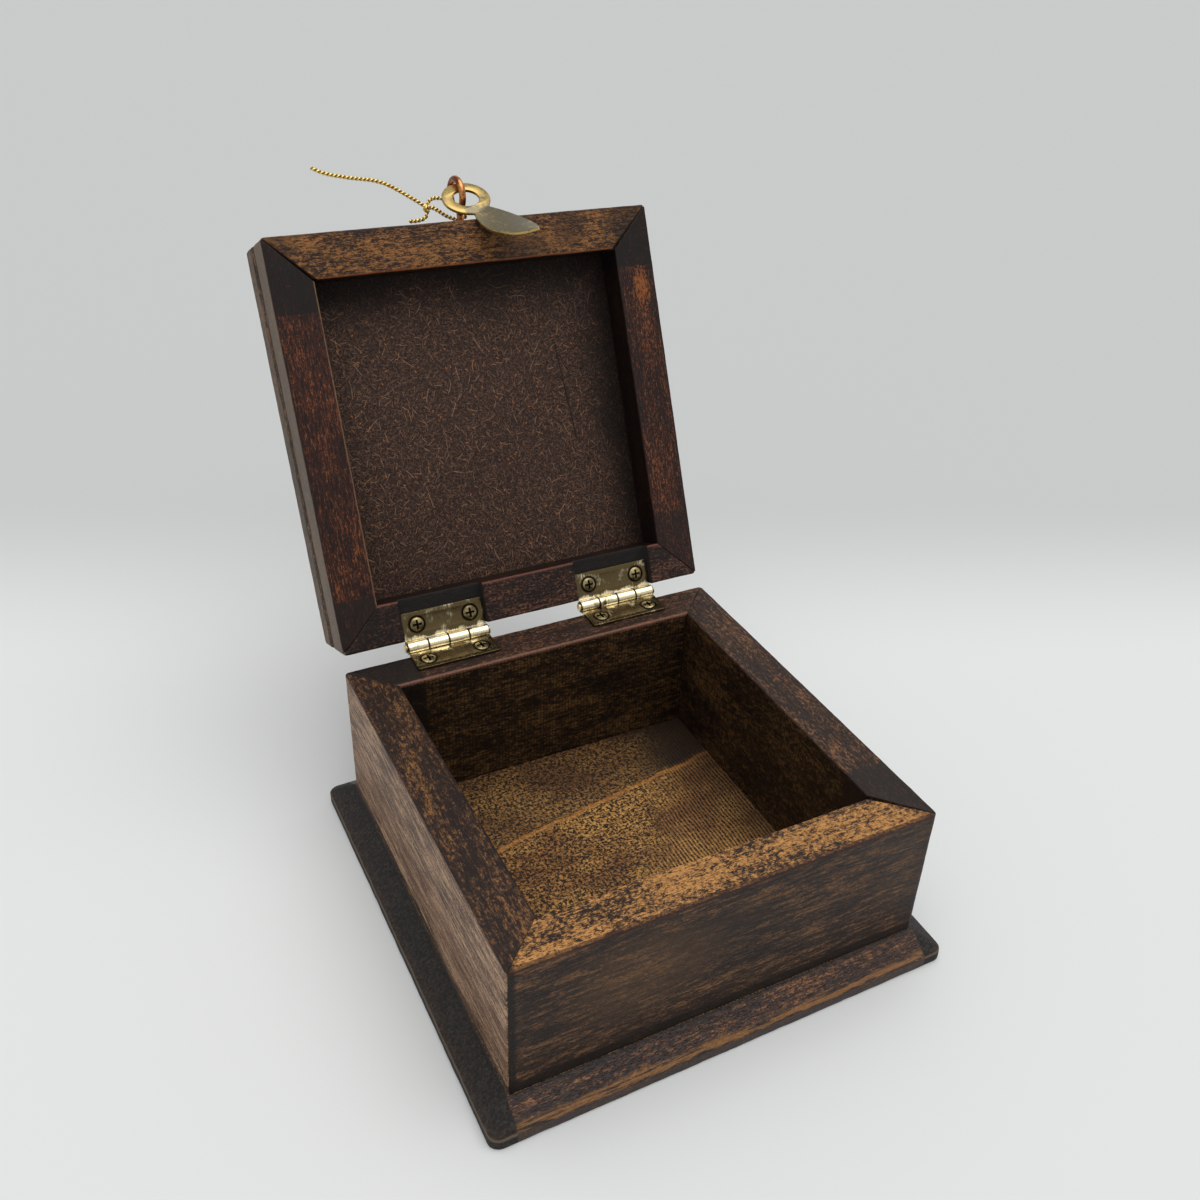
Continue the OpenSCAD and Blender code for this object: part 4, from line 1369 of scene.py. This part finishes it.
def leaf_outline(seed):
    """Round the flat plate, with straight edges that waver and two blunt corners."""
    half, near, r = LEAF_L / 2, -KNUCKLE_R - KNUCKLE_GAP, LEAF_CORNER_R
    made = [(-half, near)]
    made += [(-half + 0.05 * noise.noise(Vector((y, seed, 1))), y)
             for y in np.arange(near - 0.5, -LEAF_REACH + r, -LEAF_STEP)]
    made.append((-half + LEAF_CUT, -LEAF_REACH + LEAF_CUT))
    made += [(x, -LEAF_REACH + 0.1 * noise.noise(Vector((x * 0.25, seed, 5))))
             for x in np.arange(-half + r, half - r + 0.01, LEAF_STEP)]
    made.append((half - LEAF_CUT, -LEAF_REACH + LEAF_CUT))
    made += [(half + 0.05 * noise.noise(Vector((y, seed, 9))), y)
             for y in np.arange(-LEAF_REACH + r, near - 0.4, LEAF_STEP)]
    made.append((half, near))
    return made


def rolled_section():
    """(y, z) round a knuckle and the strip of plate it grows from, seen along the pin."""
    low, high = -LEAF_DOWN, LEAF_T - LEAF_DOWN
    made = [(KNUCKLE_ROOT, low)]
    start = math.degrees(math.asin(low / KNUCKLE_R))
    made += [(KNUCKLE_R * math.cos(t), KNUCKLE_R * math.sin(t))
             for t in np.radians(np.arange(-180 - start, 190.1, 8))]
    inner = -180 - math.degrees(math.asin(high / KNUCKLE_BORE))
    made += [(KNUCKLE_BORE * math.cos(t), KNUCKLE_BORE * math.sin(t))
             for t in np.radians(np.linspace(190, inner, 24))]
    made.append((KNUCKLE_ROOT, high))
    return np.array(made)


def knuckle(index):
    """Points and faces of one rolled knuckle, with its two ends drawn in a little."""
    section = rolled_section()
    drawn = inset(section, KNUCKLE_BEVEL)
    start = -LEAF_L / 2 + index * (KNUCKLE_L + KNUCKLE_GAP)
    end = start + KNUCKLE_L
    rings = [(start, drawn), (start + KNUCKLE_BEVEL, section), (end - KNUCKLE_BEVEL, section),
             (end, drawn)]
    points = [(x, y, z) for x, ring in rings for y, z in ring]
    return points, ring_faces(len(rings), len(section))


def leaf(first, seed):
    holes = [circle(s * SCREW_SIDE, -SCREW_BACK, SCREW_HOLE) for s in (-1, 1)]
    points, faces = welded(blank([leaf_outline(seed)] + holes, LEAF_T, 0.08))
    points = [(x, y, z + LEAF_T / 2 - LEAF_DOWN) for x, y, z in points]
    for index in (first, first + 2):
        more, skin = knuckle(index)
        faces += [tuple(len(points) + v for v in face) for face in skin]
        points += more
    return points, faces


print("leaf section", len(rolled_section()), "points")

# %% [markdown]
# The brass is dull on the open plate, with a painted highlight on the barrel and where the plate bends
# up to it. Painted shade darkens a ring round each screw head and the ends of the knuckles.

# %% Hinge finishes
def barrel_highlight(tree, at):
    """A painted highlight on the barrel and where the plate bends up to it, with a blotchy outline."""
    y = put(tree, "SeparateXYZ", Vector=at).outputs[1]
    blotch = cloud(tree, at, (0.3, 0.3, 0.3), 2)
    return rises(tree, total(tree, (y, 1.0), (blotch, 3.5)), -1.4, 0.4, 0.0, 0.8)


def knuckle_gap_shade(tree, at):
    """Painted shade at the ends of the rolled knuckles, in the gaps between them."""
    x, y, _ = put(tree, "SeparateXYZ", Vector=at).outputs
    away = repeated(tree, x, KNUCKLE_L + KNUCKLE_GAP)
    end = rises(tree, away, 0.4, 0.12, 0, 0.95)
    return times(tree, end, rises(tree, y, -1.9, -1.5))


def leaf_shade(tree, at):
    """Painted shade in rings round the screw heads, and at the knuckles' ends."""
    flat = vectors(tree, "MULTIPLY", at, (1, 1, 0))
    marks = []
    for side in (-SCREW_SIDE, SCREW_SIDE):
        away = vectors(tree, "DISTANCE", flat, (side, -SCREW_BACK, 0))
        marks.append(rises(tree, away, 2.5, 2.12, 0.0, 0.9))
    return highest(tree, *marks, knuckle_gap_shade(tree, at))


print("leaf shade ready")

# %% Hinge leaves in place
for name, x, first, mirrored in (
        ("left_hinge_body_leaf", HINGE_X[0], 1, False), ("left_hinge_lid_leaf", HINGE_X[0], 0, True),
        ("right_hinge_body_leaf", HINGE_X[1], 0, False), ("right_hinge_lid_leaf", HINGE_X[1], 1, True)):
    seed = x + 3.0 * mirrored
    points, faces = leaf(first, seed)
    own = list(points)
    if mirrored:
        points = [(px, py, -pz) for px, py, pz in points]
        faces = [tuple(reversed(face)) for face in faces]
    points = [(px + x, py + HINGE[1], pz + HINGE[2]) for px, py, pz in points]
    piece = mesh_piece(name + "_brass", points, faces, "lid" if mirrored else "box", own,
                       placed=to_open_lid if mirrored else None)
    soft_edges(piece)
    piece.data.materials.append(metal_finish(
        name + "_aged_shaded_highlit", seed, "#fff0c8", "#695a3e", "#1f1610", 0.07, 0.36,
        rubbed=barrel_highlight, shaded=leaf_shade))
    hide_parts(name)
    print(piece.name, len(points), "points")

# %% [markdown]
# ## The screw eye
# The eye is one length of coppered wire: a pointed shank that sits in the rail, a short neck, and a
# loop that starts below the neck and comes nearly round to it again.

# %% Screw eye
EYE_X, EYE_UP, EYE_OUT = 2.0, 9.1, 7.4
EYE_LOOP_R, EYE_WIRE_R, EYE_TURN = 3.75, 0.85, -4
EYE_SHANK_L, EYE_POINT = 6.0, 2.0
TUBE_SIDES, TUBE_SKIN_R = 16, 1.5
EYE_FOOT = Vector((EYE_X, LID_FRONT_Y, LID_Z + EYE_UP))


def tube(path, radii):
    """Points and faces of a round bar along a path, and places along and round it."""
    ways, across = carried_frames(path, (1, 0, 0))
    along = np.concatenate([[0], np.cumsum(np.linalg.norm(np.diff(path, axis=0), axis=1))])
    points, own = [], []
    for at, way, side, r, far in zip(path, ways, across, radii, along):
        other = np.cross(way, side)
        for k in range(TUBE_SIDES):
            t = 2 * math.pi * k / TUBE_SIDES
            out = math.cos(t) * side + math.sin(t) * other
            points.append(at + r * out)
            own.append((far, TUBE_SKIN_R * math.cos(t), TUBE_SKIN_R * math.sin(t)))
    return points, ring_faces(len(path), TUBE_SIDES), own


def eye_path():
    lean = math.radians(90 + EYE_TURN)
    loop = [(math.cos(lean) * math.cos(t) * EYE_LOOP_R, math.sin(t) * EYE_LOOP_R - EYE_OUT,
             -math.sin(lean) * math.cos(t) * EYE_LOOP_R) for t in np.radians(np.arange(66, -241, -9))]
    neck = [(0, y, 0) for y in (EYE_SHANK_L, EYE_SHANK_L - EYE_POINT, 2, 0, -1.4)]
    return smooth_path(neck + [(0, -2.9, -0.25)] + loop, 0.3)


path = eye_path()
thickness = np.full(len(path), EYE_WIRE_R)
pointed = path[:, 1] > EYE_SHANK_L - EYE_POINT
thickness[pointed] *= np.maximum(0.12, (EYE_SHANK_L - path[pointed, 1]) / EYE_POINT)
thickness[-1] *= 0.75
points, faces, own = tube(path, thickness)
eye_foot = to_open_lid @ Matrix.Translation(EYE_FOOT * MM)
eye = mesh_piece("eye_wire", points, faces, "lid", own, placed=eye_foot)
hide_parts("screw_eye")
eye.data.materials.append(metal_finish("copper_wire", 7.0, "#d8945c", "#7c4426", "#24110a", 0.5, 0.5))
print("eye", len(points), "points")

# %% [markdown]
# ## The drop pull
# The pull is a stamped plate: a ring with a leaf-shaped tongue that bends forward. It hangs from the
# eye when the lid is shut and tips over when the lid stands open. Its leaf has dulled to a grey
# olive, while its ring is still gold and its cut edges carry a painted highlight.

# %% Drop pull
PULL_T, RING_R, RING_HOLE = 0.8, 6.0, 3.25
TONGUE_HALF_L, TONGUE_HALF_W, TONGUE_MID = 11.2, 4.7, 13.9
BEND_R, BEND_AT = 32.2, 5.3
PULL_LEAN, PULL_TIP = 5, 48
TIP_AXIS, RING_HANG = Vector((-0.93, 0.31, 0.22)), Vector((-0.6, -1.9, -4.6))
SIDE_R = (TONGUE_HALF_L**2 + TONGUE_HALF_W**2) / (2 * TONGUE_HALF_W)


def half_width(y):
    """Half the pull's width at a height, with a small fillet where ring and tongue meet."""
    ring = math.sqrt(max(0.0, RING_R**2 - y * y))
    off = abs(y - TONGUE_MID)
    tongue = math.sqrt(SIDE_R**2 - off * off) - SIDE_R + TONGUE_HALF_W if off < TONGUE_HALF_L else 0.0
    near = max(0.8 - abs(ring - tongue), 0.0) / 0.8
    return max(ring, tongue) + near * near * 0.2 * (tongue > 0.5)


def pull_outline():
    lower = [-RING_R * math.cos(t) for t in np.linspace(0, 2.25, 40)]
    heights = lower[1:] + list(np.arange(lower[-1] + 0.35, TONGUE_MID + TONGUE_HALF_L - 0.1, 0.35))
    right = [(half_width(y), y) for y in heights]
    tip = [(0.0, TONGUE_MID + TONGUE_HALF_L)]
    return [(0.0, -RING_R)] + right + tip + [(-x, y) for x, y in reversed(right)]


def bent(point):
    x, y, z = point
    if y <= BEND_AT:
        return point
    lean = math.asin((y - BEND_AT) / BEND_R)
    rise = BEND_R - BEND_R * math.cos(lean)
    return x, y - z * math.sin(lean), rise + z * math.cos(lean)


def edge_highlight_and_ring_rub(tree, at):
    """A painted highlight on the cut edges, and the ring, which is rubbed bright."""
    parts = put(tree, "SeparateXYZ", Vector=at).outputs
    # painted highlight: the cut edges, between the plate's two faces, are made bright
    edge = rises(tree, maths(tree, "ABSOLUTE", parts[2]), PULL_T / 2 - 0.02, PULL_T / 2 - 0.1, 0, 0.8)
    wavy = cloud(tree, at, (0.3, 0.3, 0.3))
    ring = rises(tree, total(tree, (parts[1], 1.0), (wavy, 3.0)), 8, 3, 0, 0.5)
    return highest(tree, edge, ring)


flat, faces = welded(blank([pull_outline(), circle(0, 0, RING_HOLE)], PULL_T, 0.14),
                     np.arange(BEND_AT, TONGUE_MID + TONGUE_HALF_L, 0.8))
hung = (
    Matrix.Translation((EYE_FOOT + Vector((0, -EYE_OUT, 0))) * MM)
    @ Matrix.Rotation(math.radians(-PULL_TIP), 4, TIP_AXIS.normalized())
    @ Matrix.Translation(RING_HANG * MM)
    @ Matrix.Rotation(math.radians(-PULL_LEAN), 4, "Y")
    @ Matrix.Rotation(math.radians(90), 4, "X")
    @ Matrix.Rotation(math.radians(180), 4, "Z")
)
pull = mesh_piece("pull_plate", [bent(p) for p in flat], faces, "pull", flat, placed=to_open_lid @ hung)
soft_edges(pull, 50)
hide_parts("drop_pull")
pull.data.materials.append(metal_finish(
    "pull_satin", 9.0, "#b99e61", "#7a7058", "#544e3a", 0.2, 0.0, 0.1, rubbed=edge_highlight_and_ring_rub))
print("pull", len(flat), "points")

# %% [markdown]
# ## Screws and pins
# The screws and the pins come over from the imported model as they are. A small bevel softens their
# edges, and painted shade fills the cross slots and rings the rims of the heads.

# %% Screws and pins
CROSS_HALF_W, CROSS_HALF_L = 0.36, 1.35
SOFT_EDGE = 0.06


def screw_slot_shade(hinge_x, opened):
    """Painted shade in the cross slots and round the rims of a hinge's two screw heads."""
    def slot_shade(tree, at):
        shut = put(tree, "VectorRotate", rotation_type="X_AXIS", Vector=at, Center=tuple(HINGE),
                   Angle=math.radians(opened))
        marks = []
        for side in (-SCREW_SIDE, SCREW_SIDE):
            moved = scaled(tree, shut.outputs[0], (1, 1, 1), (-hinge_x - side, SCREW_BACK - HINGE[1], 0))
            x, y, _ = put(tree, "SeparateXYZ", Vector=moved).outputs
            x, y = maths(tree, "ABSOLUTE", x), maths(tree, "ABSOLUTE", y)
            for wide, long in ((x, y), (y, x)):
                marks.append(times(tree, rises(tree, wide, CROSS_HALF_W, 0.2),
                                   rises(tree, long, CROSS_HALF_L, 1.1)))
            out = total(tree, (times(tree, x, x), 1.0), (times(tree, y, y), 1.0))
            marks.append(times(tree, rises(tree, out, 2.5, 3.4), rises(tree, out, 9, 8)))
        return highest(tree, *marks)
    return slot_shade


for name, node in sorted(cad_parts.items()):
    if node.hide_render:
        continue
    number = float(len(name))
    node.data.materials.clear()
    if name.endswith("screws"):
        slot_shade = screw_slot_shade(HINGE_X["right" in name], LID_OPEN if "lid" in name else 0)
        finish = metal_finish(name + "_worn_shaded", number, "#c4b180", "#7c6e50", "#15100c", 0.5, 0.5,
                              packed=True, shaded=slot_shade)
    else:
        finish = metal_finish(name + "_brass", number, "#f6e2a4", "#857543", "#3f2b1c", 0.5,
                              packed=True)
    node.data.materials.append(finish)
    edge = node.modifiers.new("worn_edges", "BEVEL")
    edge.width, edge.segments, edge.limit_method = SOFT_EDGE * MM, 2, "ANGLE"
    print(name, "finished")
